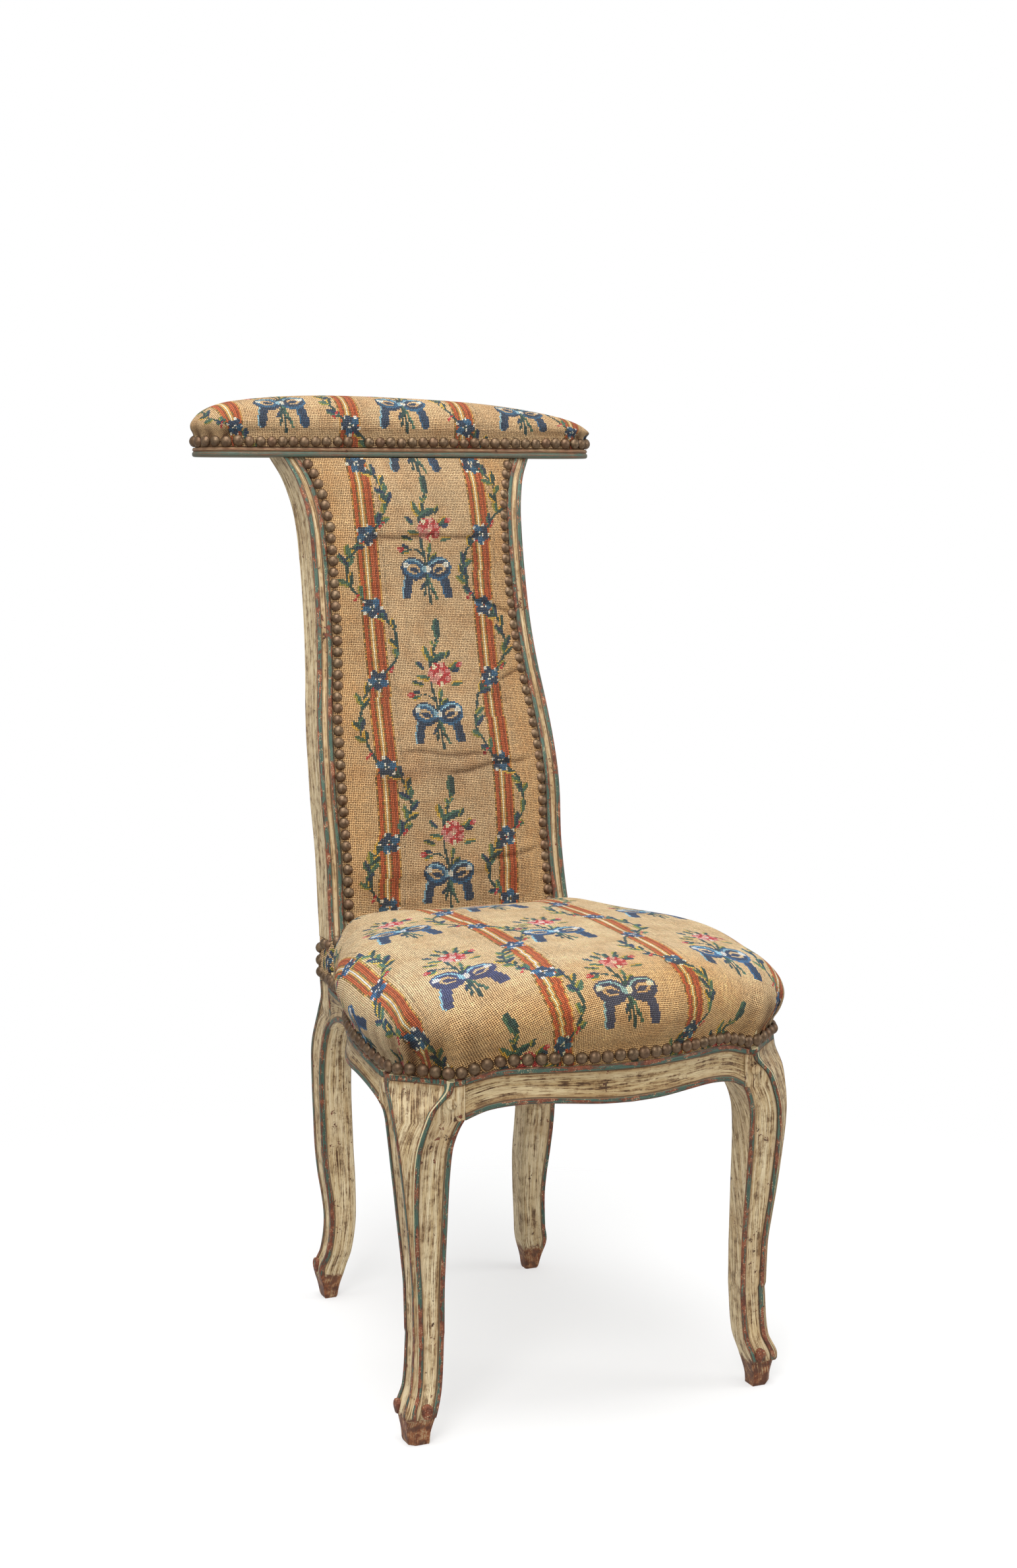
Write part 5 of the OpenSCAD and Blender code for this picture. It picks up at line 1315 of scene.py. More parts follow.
# %% Webbing of the seat
strap_w = 48
web_z, cross_c, cross_e = frame_top + 0.2 + strap_t, strap_t / 2 + 0.1, strap_w / 2 + 0.6
seat_rows = [mix(-joint_y + 22, -post_reach - strap_w / 2 - 10, i / 4) for i in range(5)]
seat_cols = [i * (post_in + 8) / 2 for i in range(-2, 3)]
pieces = []
for i, x in enumerate(seat_cols):
    t, h = woven(float(front_y(x)) + 9, -post_reach - 8, seat_rows, i % 2, cross_c, cross_e)
    pieces.append(band(np.c_[level(x, t), t, web_z + h], (1, 0, 0), strap_w, strap_t, i + 1))
skins("webbing_seat_long", pieces, "webbing", ["seat_straps_long"])
pieces = []
for j, y in enumerate(seat_rows):
    w = float(side_x(y + strap_w / 2)) - 13 - (6 if j == 4 else 0)
    t, h = woven(-w, w, seat_cols, 1 - j % 2, cross_c, cross_e)
    pieces.append(band(np.c_[t, level(y, t), web_z + h], (0, -1, 0), strap_w, strap_t, j + 11))
skins("webbing_seat_cross", pieces, "webbing", ["seat_straps_cross"])
print("seat webbing", len(seat_cols), "by", len(seat_rows))

# %% Webbing of the back
pieces = []
for k in range(6):
    z = st(0.146 + k * 0.144)
    w = float(stile_nail(z)) - 1
    t = np.linspace(-w, w, 60)
    lean = float(stile_y(z + 1) - stile_y(z - 1)) / 2
    side = np.array([0, lean, 1]) / math.hypot(1, lean)
    path = np.c_[t, level(float(stile_y(z)) + rebate + 0.65 - strap_t / 2, t), level(z, t)]
    pieces.append(band(path, side, strap_w - 4, strap_t, k + 21))
skins("webbing_back_cross", pieces, "webbing", ["back_straps_cross"])
z = np.linspace(frame_top + 51, crest_h - 0.5, 90)
pieces = [band(np.c_[level(x, z), stile_y(z) + rebate + 1.05 + strap_t / 2, z], (1, 0, 0), strap_w * 0.75, strap_t,
               k + 31) for k, x in enumerate((-strap_w, 0, strap_w))]
skins("webbing_back_long", pieces, "webbing", ["back_straps_long"])
print("webbing woven")

# %% Sheets under the covers
def cloth_grid(name, P, along, stands_for):
    """One sheet from a grid of points; gives the piece, its flat width and length, and its area."""
    m, n = P.shape[:2]
    q = place(P)
    layers = {"wood": along.reshape(-1, 3), "tone": np.tile((20, 4, 0.5), (m * n, 1))}
    o = mesh(name, q.reshape(-1, 3), quads(m, n, False), layers, slot="plain_linen", stands_for=stands_for, smooth=0)
    wide, long = (np.linalg.norm(np.diff(q, axis=k), axis=2).sum(k) for k in (1, 0))
    return o, (float(wide.max()), float(long.max())), sum(p.area for p in o.data.polygons)


rim_base = outline[:, :2] * [0.93, 0.93] + [0, seat_mid[1] * 0.07]
ring_p = np.vstack([rim_base, rim_base[:1]])
P = np.stack([np.c_[mix(seat_mid[0], ring_p[:, 0], f), mix(seat_mid[1], ring_p[:, 1], f)]
              for f in np.linspace(0, 1, 40)[1:]])
P = np.dstack([P, web_z + strap_t + 0.75 + 0.25 * np.sin(P[..., 0] / 19) * np.sin(P[..., 1] / 23)])
base_cloth, _, base_area = cloth_grid("seat_base_linen", P, P, ["seat_base_cloth"])
z, u = np.linspace(frame_top - 12, crest_h - 3, 150)[:, None], np.linspace(-1, 1, 70)[None]
slack = 0.45 * np.sin(z / 31) * np.cos(u * 5) + 0.3 * np.sin(z / 9 + u * 11)
X, Z = (post_inner(z) + post_t / 3) * u, z + 0 * u
Y = post_rear(z) + 1.0 + slack * (1 - u ** 6) - 0.5 * (np.abs(u) ** 30)
lining, lining_flat, lining_area = cloth_grid("back_lining_linen", np.dstack([X, Y, Z]), np.dstack([X, Z, 0 * X + 3]),
                                              ["back_lining"])
print("base cloth and lining", round(base_area, 4), lining_flat, round(lining_area, 4))

# %% [markdown]
# ## Cloths round the posts
# Where the back meets the seat, a small piece of the same needlework wraps each post. It follows
# the post's own section, one row of stitches at a time.

# %% Cloth round each post above the seat
n_col = 34


def strip_path(z):
    """One row of the cloth, round the front and the outer side of the post."""
    x = float(post_outer(z)) + 0.8 - rebate + 0.15 + cloth_t
    yf = float(post_front(z)) + rebate - 0.95 - (0.7 if z > frame_top + 0.3 else 0) - cloth_t
    yb, r = float(post_rear(z)) - 1.5, 3
    a = np.linspace(0, math.pi / 2, 8)
    P = np.vstack([[[x - 19, yf], [x - 11, yf]], np.c_[x - r + r * np.sin(a), yf + r - r * np.cos(a)],
                   [[x, mix(yf, yb, 0.5)], [x, yb]]])
    s = run_of(P)
    q = np.linspace(0, s[-1], n_col)
    return np.interp(q, s, P[:, 0]), np.interp(q, s, P[:, 1])


strip_z = np.arange(nail_rear_h - 6.5, strip_top - 0.8, stitch)
rows = []
for z in strip_z:
    x, y = strip_path(z)
    up_share = (z - strip_z[0]) / (strip_z[-1] - strip_z[0])
    puff = 0.8 * np.sin(math.pi * np.linspace(0, 1, n_col)) * math.sin(math.pi * up_share)
    rows.append(np.c_[x + puff, y, np.full(n_col, z)])
P, n_row = np.array(rows), len(rows)
jj, ii = np.mgrid[0:n_row, 0:n_col]
thread = np.dstack([ii, jj, 0 * ii]).reshape(-1, 3)
F = quads(n_row, n_col, False)
strips = []
for sign, side in ((1, "right"), (-1, "left")):
    o = mesh("strip_needlework_" + side, place(P * [sign, 1, 1]).reshape(-1, 3), [f[::sign] for f in F],
             {"thread": thread}, slot="needlework", stands_for=["post_strip_" + side], smooth=0)
    art = Canvas(np.arange(n_col) * stitch, np.arange(n_row) * stitch, 31 + sign)
    art.line([(8, 4), (14, 16), (12, 30), (20, 44)], 3, "green")
    for a, b, t in ((12, 10, 0.5), (13, 18, 2.5), (12, 26, 0.7), (16, 36, 2.3), (34, 12, 1.2), (38, 26, 1.9)):
        art.leaf(a, b, t, 13, 6, "navy" if b % 4 else "green", "lime")
    for a, b in ((22, 8), (30, 34), (6, 38)):
        art.blob(a, b, 3, 2.4, 0.5, "red")
    art.flower(26, 22, 8)
    art.age([(20, 4, 40, 6, 0.3)])
    art.dye(o, np.c_[ii[:-1, :-1].reshape(-1), jj[:-1, :-1].reshape(-1)])
    strips.append(o)

print(len(strips), "post cloths")

# %% [markdown]
# ## Pegs
# Each tenon is pinned by a turned peg, whose end stands a hair proud of the paint.

# %% Pegs
def peg(centre, way, r=4.5, l=14):
    """A turned peg whose end just shows in the face it pins."""
    way = np.array(way, float)
    e1 = np.cross(way, [0, 0, 1.0])
    e2 = np.cross(e1, way)
    a = np.linspace(0, 2 * np.pi, 25)[:-1]
    rings = [np.array(centre) + way * h + np.outer(np.cos(a) * r * k, e1) + np.outer(np.sin(a) * r * k, e2)
             for h, k in ((-l, 0.94), (-0.6, 1), (0.05, 0.97), (0.25, 0.8), (0.32, 0.3))]
    return rings, np.array([np.c_[ring[:, 0] - ring[:, 1], ring[:, 2], np.full(24, 40.0)] for ring in rings])


# the pegs' places in the shared frame: one in the front of each leg, one in its side, one in each post
front_peg_x, front_peg_z = 148.5, 307.2
side_peg_y, side_peg_z = -196.6, 315.4
post_peg_y, post_peg_z = 107.4, 320.8
front_face = float(mould(front_peg_x - joint_x, knee_x - knee_lean - cant - joint_x))
pegs = []
for sx in (-1, 1):
    pegs.append(peg((sx * front_peg_x, front_face + float(front_y(front_peg_x)), front_peg_z - foot_drop), (0, -1, 0)))
    pegs.append(peg((sx * (knee_x - knee_lean * 0.2 - float(mould(10.0, 20.0)) + 0.4), side_peg_y - y_off,
                     side_peg_z - foot_drop), (sx, 0, 0)))
    pegs.append(peg((sx * (float(post_outer(317.5)) - 0.4), post_peg_y - y_off, post_peg_z - foot_drop), (sx, 0, 0)))
skins("pegs_painted", pegs, "painted_wood", ["joint_pegs"])
print("hidden pieces done")

# %% [markdown]
# ## Nails
# The covers are held by close rows of domed nails with hand-beaten heads. Each head is a small
# dome of its own, turned and dented a little by chance, because a row of copies looks cast.

# %% Domed nails
rng = np.random.default_rng(11)
head_rows = [(1.0, -0.6), (1.0, 0.25), (0.965, 0.75), (0.87, 1.7), (0.7, 2.75), (0.48, 3.55), (0.24, 4.05)]
head_n = 20
head_count = len(head_rows) * head_n + 1
head_faces = quads(len(head_rows), head_n) + [
    (head_count - 1 - head_n + b, head_count - 1 - head_n + (b + 1) % head_n, head_count - 1) for b in range(head_n)]


def dome_nail(at, d):
    """Points of one head, a little uneven, standing on its cloth along d."""
    d = np.asarray(d, float) / np.linalg.norm(d)
    d = d + rng.normal(0, 0.035, 3)
    d /= np.linalg.norm(d)
    u = np.cross(d, [0, 0, 1] if abs(d[2]) < 0.9 else [1, 0, 0])
    u /= np.linalg.norm(u)
    v = np.cross(d, u)
    w = nail_d / 2 * rng.uniform(0.985, 1.03)
    t = np.arange(head_n) * math.pi / 10 + rng.uniform(0, 6.28)
    P = []
    for i, (r, h) in enumerate(head_rows):
        ww = w * r * (1 + rng.normal(0, 0.006, head_n))
        hh = h * nail_rise / 4.2 + rng.normal(0, 0.05, head_n) * (i > 1)
        P.append(at + np.outer(ww * np.cos(t), u) + np.outer(ww * np.sin(t), v) + np.outer(hh, d))
    return np.vstack(P + [[at + d * nail_rise * rng.uniform(0.97, 1.02)]])


def nail_row(name, paths, stands_for, skip=(), closed=False):
    """Heads at an even pitch along paths of place and direction."""
    heads, tone = [], []
    for path in np.array(paths, dtype=float):
        s = run_of(path[:, :3])
        n = max(1, round(s[-1] / nail_pitch))
        for i in range(n if closed else n + 1):
            if i not in skip:
                q = [np.interp(s[-1] * i / n, s, path[:, c]) for c in range(6)]
                heads.append(dome_nail(np.array(q[:3]) + rng.normal(0, 0.25, 3), q[3:]))
                tone.append(np.tile([rng.uniform(), rng.uniform(), rng.uniform()], (head_count, 1)))
    faces = [tuple(a + k * head_count for a in f) for k in range(len(heads)) for f in head_faces]
    print(name, len(heads), "nails")
    return mesh(name, place(np.vstack(heads)), faces, {"tone": np.vstack(tone)}, slot="nail_brass",
                stands_for=stands_for, smooth=0)


def other_side(path):
    return [[-q[0], q[1], q[2], -q[3], q[4], q[5]] for q in path]

# %% Rows of nails
hem_out = cloth_t + 0.25
row = [[float(side_x(y)) - rebate + hem_out, y, float(nail_side(y)), 1, 0.12, 0]
       for y in np.linspace(-post_reach - 8, -front_reach + cant + 3, 60)]
row += [[mix(knee_x, knee_x - cant, f) - rebate * 0.7 + hem_out * 0.75,
         mix(-front_reach + cant, -front_reach, f) + rebate * 0.7 - hem_out * 0.75, nail_corner_h, 1, -1, 0]
        for f in (0.12, 0.5, 0.88)]
row += [[x, float(front_y(x)) + rebate - hem_out, float(nail_front(x)), float(front_y(x + 1) - front_y(x - 1)) / 2, -1,
         0] for x in np.linspace(joint_x + 12, 0, 60)]
nail_row("nails_seat", [row + other_side(row[-2::-1])], ["seat_nails"])
out_x, top_z, low_z = 0.8 - rebate + 0.15 + cloth_t, strip_top - 6, nail_rear_h - 1


def strip_y(z):
    return float(post_front(z)) + rebate - 1.8 - cloth_t


strip = [[float(post_outer(z)) + out_x, float(y), z, 1, 0, 0] for y, z in [
    (post_front(low_z) + 3, low_z), (post_rear(low_z) - 12, low_z), (post_rear(low_z) - 5, low_z + 4),
    (post_rear(low_z) - 3.5, low_z + 13), (post_rear(top_z) - 4.5, top_z - 5), (post_rear(top_z) - 10, top_z - 1),
    (post_front(top_z) + 7, top_z)]]
xo = float(post_outer(top_z)) + out_x
strip += [[xo - 1.5, strip_y(top_z) + 1.5, top_z + 0.5, 1, -1, 0],
          [xo - 10, strip_y(top_z + 4.5), top_z + 4.5, 0, -1, 0.3],
          [xo - 18, strip_y(top_z + 10), top_z + 10, 0, -1, 0.3]]
nail_row("nails_strip", [strip, other_side(strip)], ["strip_nails"])
row = [[float(stile_nail(z)),
        float(stile_y(z)) + rebate + 0.55 - strap_t - cloth_t - float(back_puff(0.05, z)) * 0.6, z,
        0, -1, float(stile_y(z + 1) - stile_y(z - 1)) / 2] for z in np.linspace(crest_h - 7, strip_top + 21, 120)]
nail_row("nails_back", [row, other_side(row)], ["back_nails"])
ring = [[x + nx * r0, crest_mid + ny * r0, crest_h + 9.5 + 6, nx, ny, 0] for x, nx, ny in loop]
nail_row("nails_crest", [ring + ring[:1]], ["crest_nails"], skip=(62,), closed=True)

# %% [markdown]
# ## Finishes
# Old paint: cream over a red-brown clay ground, with blue-green beads, all worn through along
# the edges. Wool and bare canvas, dark brass, horse web, linen and bare beech follow. Each finish
# is worked out from noise and from the measures kept on the mesh, so it has no pictures and the
# wear follows the edges. Values are added and multiplied as plain sums, which keeps a long
# recipe readable.

# %% Finish tools
class Wire:
    """One value inside a finish, so that a step can be written as a sum."""

    def __init__(self, finish, socket):
        self.finish, self.socket = finish, socket

    def step(self, lo, hi, a=0.0, b=1.0):
        """A soft change from a to b as the value goes from lo to hi."""
        return self.finish.node("MapRange", {"interpolation_type": "SMOOTHSTEP"}, i0=self, i1=lo, i2=hi, i3=a, i4=b)

    def around(self, middle):
        """How far from the middle, either way."""
        return abs(self - middle)

    def sway(self, amount):
        """A noise turned into a small shift, up or down."""
        return (self - 0.5) * amount

    def __add__(self, v):
        return self.finish.do("ADD", self, v)

    def __sub__(self, v):
        return self.finish.do("SUBTRACT", self, v)

    def __rsub__(self, v):
        return self.finish.do("SUBTRACT", v, self)

    def __mul__(self, v):
        return self.finish.do("MULTIPLY", self, v)

    def __mod__(self, v):
        return self.finish.do("MODULO", self, v)

    def __pow__(self, v):
        return self.finish.do("POWER", self, v)

    def __abs__(self):
        return self.finish.do("ABSOLUTE", self)


class Finish:
    """A short way to write one material as a chain of small steps."""

    def __init__(self, name):
        self.m = bpy.data.materials.new(name)
        self.m.use_nodes = True
        self.t = self.m.node_tree
        self.at = self.node("TexCoord", out="Object")

    def put(self, socket, v):
        if isinstance(v, Wire):
            self.t.links.new(v.socket, socket)
            return
        v = tint(v) if isinstance(v, str) else v
        if isinstance(v, (tuple, list, np.ndarray)):
            n = len(socket.default_value)
            v = [float(x) for x in v][:n] + [1.0] * (n - len(v))
        socket.default_value = v

    def node(self, kind, settings=(), out=0, **inputs):
        n = self.t.nodes.new("ShaderNode" + kind)
        for k, v in dict(settings).items():
            setattr(n, k, v)
        for k, v in inputs.items():
            self.put(n.inputs[int(k[1:])] if k[0] == "i" and k[1:].isdigit() else n.inputs[k.replace("_", " ")], v)
        return Wire(self, n.outputs[out])

    def attr(self, name, out="Vector"):
        return self.node("Attribute", {"attribute_name": name}, out)

    def do(self, op, a, b=0.0, c=0.0):
        return self.node("Math", {"operation": op}, i0=a, i1=b, i2=c)

    def noise(self, at, scale, detail=3.0, rough=0.55, stretch=None, move=(0, 0, 0)):
        if stretch is not None:
            at = self.node("Mapping", Vector=at, Scale=stretch, Location=move)
        return self.node("TexNoise", Vector=at, Scale=scale, Detail=detail, Roughness=rough)

    def blend(self, f, a, b, mode="MIX"):
        n = self.t.nodes.new("ShaderNodeMix")
        n.data_type, n.blend_type = "RGBA", mode
        for k, v in ((0, f), (6, a), (7, b)):
            self.put(n.inputs[k], v)
        return Wire(self, n.outputs[2])

    def times(self, a, b):
        return self.blend(1.0, a, b, "MULTIPLY")

    def parts(self, v):
        return [Wire(self, s) for s in self.node("SeparateXYZ", i0=v).socket.node.outputs]

    def bump(self, height, depth):
        return self.node("Bump", Strength=1.0, Distance=depth, Height=height)

    def done(self, **kw):
        for k, v in kw.items():
            self.put(self.t.nodes["Principled BSDF"].inputs[k.replace("_", " ")], v)
        return self.m

# %% [markdown]
# ## The old paint
# The frame was painted long ago and has been rubbed by hands ever since. The wear is driven by the
# distance from each edge, and so is the painted shade in each quirk and hollow; the streaks run along
# the grain, and the feet have lost nearly all.

# %% Old paint
def paint(name):
    """Cream over clay, blue-green beads, all rubbed along the grain."""
    f = Finish(name)
    wood = f.attr("wood")
    edge, part, share = f.parts(f.attr("tone"))
    z = f.parts(f.at)[2]

    def is_part(code):
        return part.around(code).step(0.3, 0.5, 1, 0)

    def streaks(detail, rough, across, along, move=(0, 0, 0)):
        return f.noise(wood, 1, detail, rough, (across, along, 1), move)

    fine, blot, mid = f.noise(f.at, 1100, 3), f.noise(f.at, 24, 4, 0.6), f.noise(f.at, 110, 5, 0.7)
    broad = streaks(4, 0.7, 0.3, 0.012)
    drag = streaks(5, 0.75, 1.3, 0.026, (7, 3, 0))
    hair = streaks(3, 0.6, 3.4, 0.06, (1, 9, 0))
    panel = is_part(2)
    col = f.blend(broad.step(0.38, 0.62), "EAD9B3", "CFB688")
    col = f.blend(blot.step(0.47, 0.68, 0, 0.55), col, "B99C72")
    col = f.blend(hair.step(0.5, 0.58, 0, 0.5), col, "A08058")
    # long brown streaks where the cream has rubbed thin, more on the knee panel, fewer at the rear
    thin = drag + mid.sway(0.45) + broad.sway(0.35) + panel * 0.03 - is_part(6) * 0.035
    col = f.blend(thin.step(0.515, 0.54, 0, 0.75), col, "84603A")
    col = f.blend(thin.step(0.578, 0.6, 0, 0.9), col, "4A301C")
    col = f.blend(is_part(9) + panel * 0.35, col, f.times(col, "DED8CC"))
    # soft dirt and painted shade in the hollow beside each bead
    col = f.blend(edge.step(5.5, 10, 0.5, 0), col, "A07C50")
    # beads: green, broken by clay, more clay lower down
    clay = f.blend(mid.step(0.4, 0.6), "5C3222", "8A4E34")
    jade = f.blend(drag.step(0.4, 0.62), "344A40", "567060")
    low = z.step(0.0, 0.3, 0.06, -0.02) + part.step(10.5, 10.6, 0, 0.06)
    broken = streaks(4, 0.65, 0.25, 0.03, (3, 1, 8)) + low + mid.sway(0.4)
    bead_col = f.blend(broken.step(0.485, 0.525), jade, clay)
    bead_col = f.blend((fine + mid * 0.6).step(0.92, 1.0, 0, 0.8), bead_col, "D6C69C")
    e = edge + mid.sway(1.6)
    by_panel = share.step(0.55, 0.6) * part.step(3.4, 3.6, 1, 0)
    col = f.blend((e - by_panel * 0.8).step(4.4, 4.8, 1, 0), col, bead_col)
    # a thin cream line next to the knee panel, clay on the outer arris
    col = f.blend(e.step(0.6, 1.1, 0.9, 0) * by_panel, col, "DCCBA0")
    col = f.blend(e.step(0.4, 1.3, 0.75, 0) * (1 - by_panel), col, clay)
    # the quirk between bead and hollow holds dirt, and is painted dark as its shade
    col = f.blend(edge.around(5.3).step(0.25, 0.9, 1, 0) * 0.85, col, "46301F")
    # crest rim: dark clay above, green below
    upper = share.step(0.26, 0.29)
    rim_col = f.blend(drag.step(0.45, 0.58), f.blend(upper, "4C685C", "744834"), f.blend(upper, "76543E", "AC8A64"))
    col = f.blend(is_part(10) * 0.85, col, rim_col)
    # chips down to the clay and the wood
    chipped = (f.noise(f.at, 150, 4, 0.72) + blot.sway(0.5)).step(0.65, 0.68)
    col = f.blend(chipped, col, f.blend(mid.step(0.45, 0.55), "7A4430", "4E3624"))
    # feet: nearly bare clay
    sole = f.blend(mid.step(0.42, 0.6), "5A321E", "8A4C26")
    sole = f.blend((drag + mid * 0.7).step(0.9, 0.98), sole, "B8A078")
    col = f.blend((z + mid.sway(0.03)).step(0.0235, 0.0285, 1, 0) * 0.95, col, sole)
    height = chipped * -0.6 + (drag + hair) * 0.5 + fine * 0.15
    return f.done(Base_Color=col, Roughness=(mid + broad).step(0.6, 1.4, 0.42, 0.62), Normal=f.bump(height, 0.0006),
                  Specular_IOR_Level=0.35)

# %% [markdown]
# ## The wool
# Each face of a net is one stitch and carries its own wool. The finish rounds the stitch, darkens
# the gap round it, and shows crossing threads where the canvas is bare.

# %% Needlework
def needle(name):
    """Tent stitches over an open canvas: small rounded tiles with dark gaps between them."""
    f = Finish(name)
    cell, dyed = f.attr("thread"), f.attr("wool", "Color")
    worked = Wire(f, dyed.socket.node.outputs["Alpha"])
    jx, jy = f.noise(cell, 0.4, 3, 0.6), f.noise(cell, 0.4, 3, 0.6, (1, 1, 1), (31, 17, 5))
    x, y, painted_shade = f.parts(cell)
    x, y = x + jx.sway(0.9), y + jy.sway(0.9)
    fx, fy = f.do("FRACT", x) - 0.5, f.do("FRACT", y) - 0.5
    over = abs((f.do("FLOOR", x) + f.do("FLOOR", y)) % 2.0) * 2 - 1
    # bare canvas: round threads that pass over and under, an open hole at each corner
    bare = f.do("MAXIMUM", 1 - fx * fx * 11 + over * 0.3, 1 - fy * fy * 11 - over * 0.3)
    # worked canvas: one slanted stitch fills its cell
    tx, ty = (1 - abs((a + b * -0.22) * 2.0) ** 3.0 for a, b in ((fx, fy), (fy, fx)))
    full = f.do("MAXIMUM", tx, 0) * f.do("MAXIMUM", ty, 0)
    fuzz_and_sheen, wear = f.noise(f.at, 2200, 3, 0.7), f.noise(f.at, 45, 4, 0.6)
    is_worked = worked.step(0.4, 0.6)
    h = f.node("Mix", i0=worked, i2=bare - 0.1, i3=full)
    rough_h = h + fuzz_and_sheen.sway(0.7)
    # painted highlight: the top of each thread is paler, towards cream
    thread = f.blend(rough_h.step(0.66, 1.15, 0, 0.5), dyed, f.blend(worked.step(0.4, 0.6, 0.55, 0.18), dyed, "FFF0CC"))
    # painted sheen: pale specks where the loose fibres catch the light
    thread = f.blend(fuzz_and_sheen.step(0.4, 0.7, 0, 0.1), thread, "F4E2BE")
    thread = f.blend(wear.step(0.4, 0.68, 0.0, 0.28), thread, f.times(thread, "C89E72"))
    # painted shade: the gaps round each stitch and the holes of the bare canvas are dark, and each thread darkens down
    # its sides into them
    gap = f.blend(worked.step(0.4, 0.6, 0.3, 0.6), f.times(dyed, "8A6238"), f.blend(is_worked, "5E4020", "20140A"))
    col = f.blend(rough_h.step(0.0, 0.75), gap, thread)
    # painted shade carried in each stitch's third channel: darker in fold valleys, creases and along the hems
    col = f.blend(painted_shade, col, f.times(col, "6B4A30"))
    return f.done(Base_Color=col, Roughness=0.9, Normal=f.bump(h + fuzz_and_sheen * 0.3, 0.0008), Sheen_Weight=0.04,
                  Sheen_Roughness=0.5, Specular_IOR_Level=0.12)

# %% [markdown]
# ## Brass, plain cloth and bare wood
# The rest needs little: dents and pits for brass, two crossing waves for woven cloth, and
# stretched noise for the rings of beech.

# %% Brass, cloth and bare wood
def brass(name):
    """Dark brass, rubbed a little bright, each head a shade of its own."""
    f = Finish(name)
    shade, polish, _ = f.parts(f.attr("tone"))
    dents, pits = f.noise(f.at, 260, 4, 0.65), f.noise(f.at, 1500, 2, 0.6)
    col = f.blend(dents.step(0.35, 0.7), "5E4C3A", "8A745A")
    col = f.blend(shade * 0.5, col, "6E4F3C")
    col = f.blend(pits.step(0.6, 0.75, 0, 0.5), col, "3A2E24")
    return f.done(Base_Color=col, Metallic=0.75, Roughness=dents.step(0.3, 0.7, 0.36, 0.52) + polish * 0.08,
                  Normal=f.bump(dents + pits * 0.4, 0.00012))


def weave(name, pale, dark, size, stripe=None):
    """Plain cloth; size is the thread in millimetres, and stripe colours a line near each edge."""
    f = Finish(name)
    x, y, _ = f.parts(f.attr("wood"))
    u, v = (abs(f.do("SINE", a * (3.14159 / size))) for a in (x, y))
    n, h = f.noise(f.at, 30, 4), u * v
    # painted shade: the threads are pale where they rise and dark between them
    col = f.blend((h + n * 0.6).step(0.2, 0.9), dark, pale)
    if stripe:
        col = f.blend(abs(x).around(17).step(1.6, 2.0, 0.75, 0), col, stripe)
    col = f.blend(n.step(0.5, 0.75, 0, 0.4), col, f.times(col, "9A7A58"))
    return f.done(Base_Color=col, Roughness=0.9, Normal=f.bump(h, 0.0003))


def beech(name):
    """Bare beech with its rings and small dark flecks."""
    f = Finish(name)
    rings = f.noise(f.at, 40, 4, 0.6, (0.12, 1.4, 2.2))
    flecks = f.noise(f.at, 300, 2, 0.5, (0.1, 1, 1.6))
    col = f.blend(rings.step(0.35, 0.65), "8F6A43", "6B4A2C")
    col = f.blend(flecks.step(0.6, 0.7, 0, 0.5), col, "4E3520")
    return f.done(Base_Color=col, Roughness=0.62, Normal=f.bump(rings + flecks, 0.0003))


mats = {"painted_wood": paint("painted_wood"), "needlework": needle("needlework"), "nail_brass": brass("nail_brass"),
        "bare_wood": beech("bare_wood"), "plain_linen": weave("plain_linen", "C8B48A", "8E7850", 0.9),
        "webbing": weave("webbing", "B9A276", "7C6442", 2.2, "7A3A2A")}
print(len(mats), "finishes")

# %% A finish on each piece
finish_of = (("needlework", "needlework"), ("linen", "plain_linen"), ("nails_", "nail_brass"), ("webbing_", "webbing"),
             ("rear_", "bare_wood"), ("back_lower_rail", "bare_wood"))
for o in bpy.data.objects:
    if o.type == "MESH":
        o.data.materials.clear()
        o.data.materials.append(mats[next((v for k, v in finish_of if k in o.name), "painted_wood")])
print("finishes on", sum(o.type == "MESH" for o in bpy.data.objects), "meshes")

# %% [markdown]
# ## Floor, light and camera
# A studio floor that only keeps the shadow, three soft lamps and a camera at the photograph's
# angle. What the camera sees behind the chair is white; what lights the chair is dimmer.

# %% Floor and backdrop
bpy.ops.mesh.primitive_plane_add(size=14)
floor = bpy.context.object
floor.name = "floor"
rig.stage(floor)
paper = Finish("paper")
px, py, _ = paper.parts(paper.at)
far = paper.do("SQRT", px * px + py * py)
floor.data.materials.append(paper.done(Base_Color=(0.94, 0.94, 0.94), Roughness=0.95, Specular_IOR_Level=0.1,
                                       Alpha=far.step(0.3, 0.95, 0.42, 0)))
world = bpy.context.scene.world or bpy.data.worlds.new("studio")
bpy.context.scene.world = world
world.use_nodes = True
t = world.node_tree
t.nodes.clear()
out, pick, path = (t.nodes.new("ShaderNode" + k) for k in ("OutputWorld", "MixShader", "LightPath"))
t.links.new(path.outputs["Is Camera Ray"], pick.inputs[0])
t.links.new(pick.outputs[0], out.inputs[0])
for k, strength in ((1, 0.55), (2, 1)):
    sky = t.nodes.new("ShaderNodeBackground")
    sky.inputs[0].default_value, sky.inputs[1].default_value = (1, 1, 1, 1), strength
    t.links.new(sky.outputs[0], pick.inputs[k])
print("floor and world done")

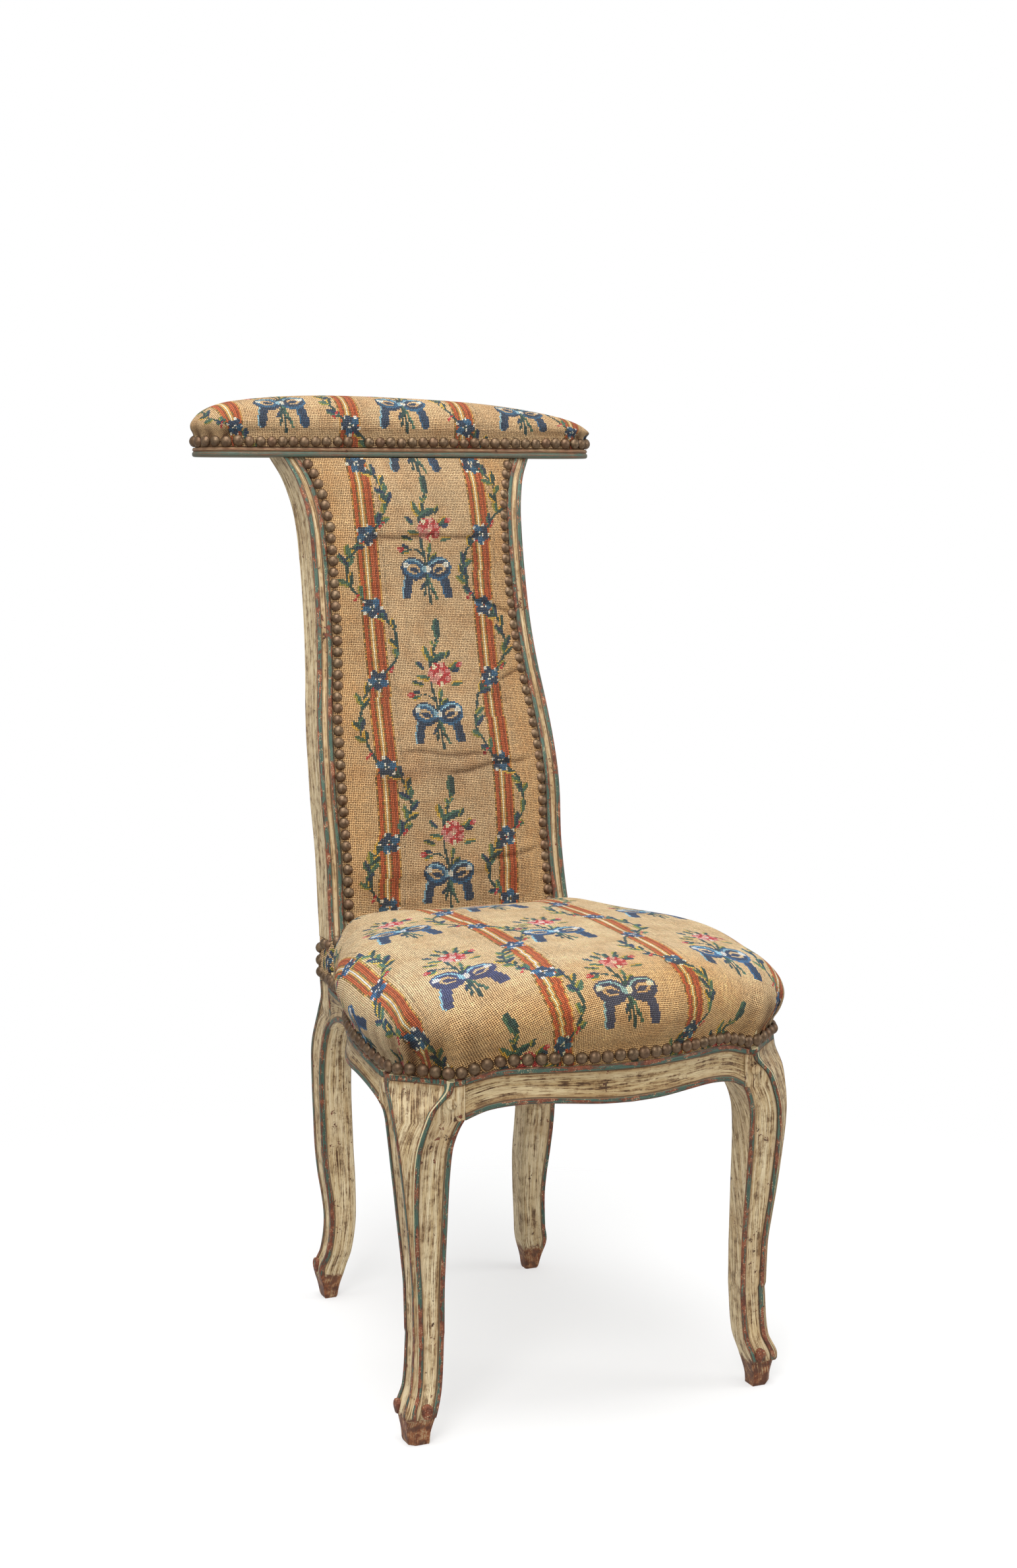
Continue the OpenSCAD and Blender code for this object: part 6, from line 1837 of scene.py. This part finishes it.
# %% Lamps and camera
for name, where, size, power in (("key", (-1.6, -2.2, 2.6), 1.1, 53), ("side", (2.6, -1.2, 1.6), 1.2, 27),
                                 ("top", (-0.3, -0.4, 3.2), 1.6, 74)):
    lamp = bpy.data.lights.new(name, "AREA")
    lamp.size, lamp.energy = size, power
    o = bpy.data.objects.new(name, lamp)
    o.location = where
    o.rotation_euler = (Vector((0, 0, 0.45)) - Vector(where)).to_track_quat("-Z", "Y").to_euler()
    bpy.context.scene.collection.objects.link(o)
focal_px, frame_px, sensor = 3591, 2380, 36
yaw, pitch = math.radians(24), math.radians(-7.2)
cam = bpy.data.objects.new("camera", bpy.data.cameras.new("camera"))
bpy.context.scene.collection.objects.link(cam)
cam.data.lens, cam.data.sensor_width = focal_px / frame_px * sensor, sensor
cam.data.clip_start, cam.data.clip_end = 0.05, 50
cam.location = (-0.903, -2.0576, 0.8303)
view = Vector((math.sin(yaw) * math.cos(pitch), math.cos(yaw) * math.cos(pitch), math.sin(pitch)))
cam.rotation_euler = view.to_track_quat("-Z", "Y").to_euler()
bpy.context.scene.camera = cam
bpy.context.scene.view_settings.view_transform = "Standard"
print("camera with a lens of", round(cam.data.lens, 1), "mm")

# %% [markdown]
# ## What is soft
# The three covers are pads with a fill. The hidden cloths and the cloths round the posts are
# sheets, so each tells its flat size, its area and the pieces that it rests on.

# %% Pads and sheets
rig.padded(seat, fill=0.6)
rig.padded(crest, fill=0.6)
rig.padded(back, fill=0.3)


def flat_of(o, w, l):
    print(o.name, "flat", round(w, 4), round(l, 4))
    return {"flat": (w, l), "held": "stretched"}


base_w, base_l = (float(np.ptp(rim_base[:, k])) / 1000 + 0.004 for k in (0, 1))
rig.sheet(base_cloth, area=base_area, rests_on=["webbing_seat_long", "webbing_seat_cross"],
         **flat_of(base_cloth, base_w, base_l))
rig.sheet(lining, area=lining_area, rests_on=["stile_right", "stile_left"], **flat_of(lining, *lining_flat))
for o in strips:
    post_name = "post_lower_right" if o.name.endswith("right") else "post_lower_left"
    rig.sheet(o, area=sum(p.area for p in o.data.polygons), rests_on=[post_name], **flat_of(o, 0.056, 0.044))

# %% Finish
last_box = [list(c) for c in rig.bounds()]
json.dump({"cad": first_box, "visual": last_box}, open("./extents.json", "w"))
print("box", [[round(v, 4) for v in c] for c in last_box])
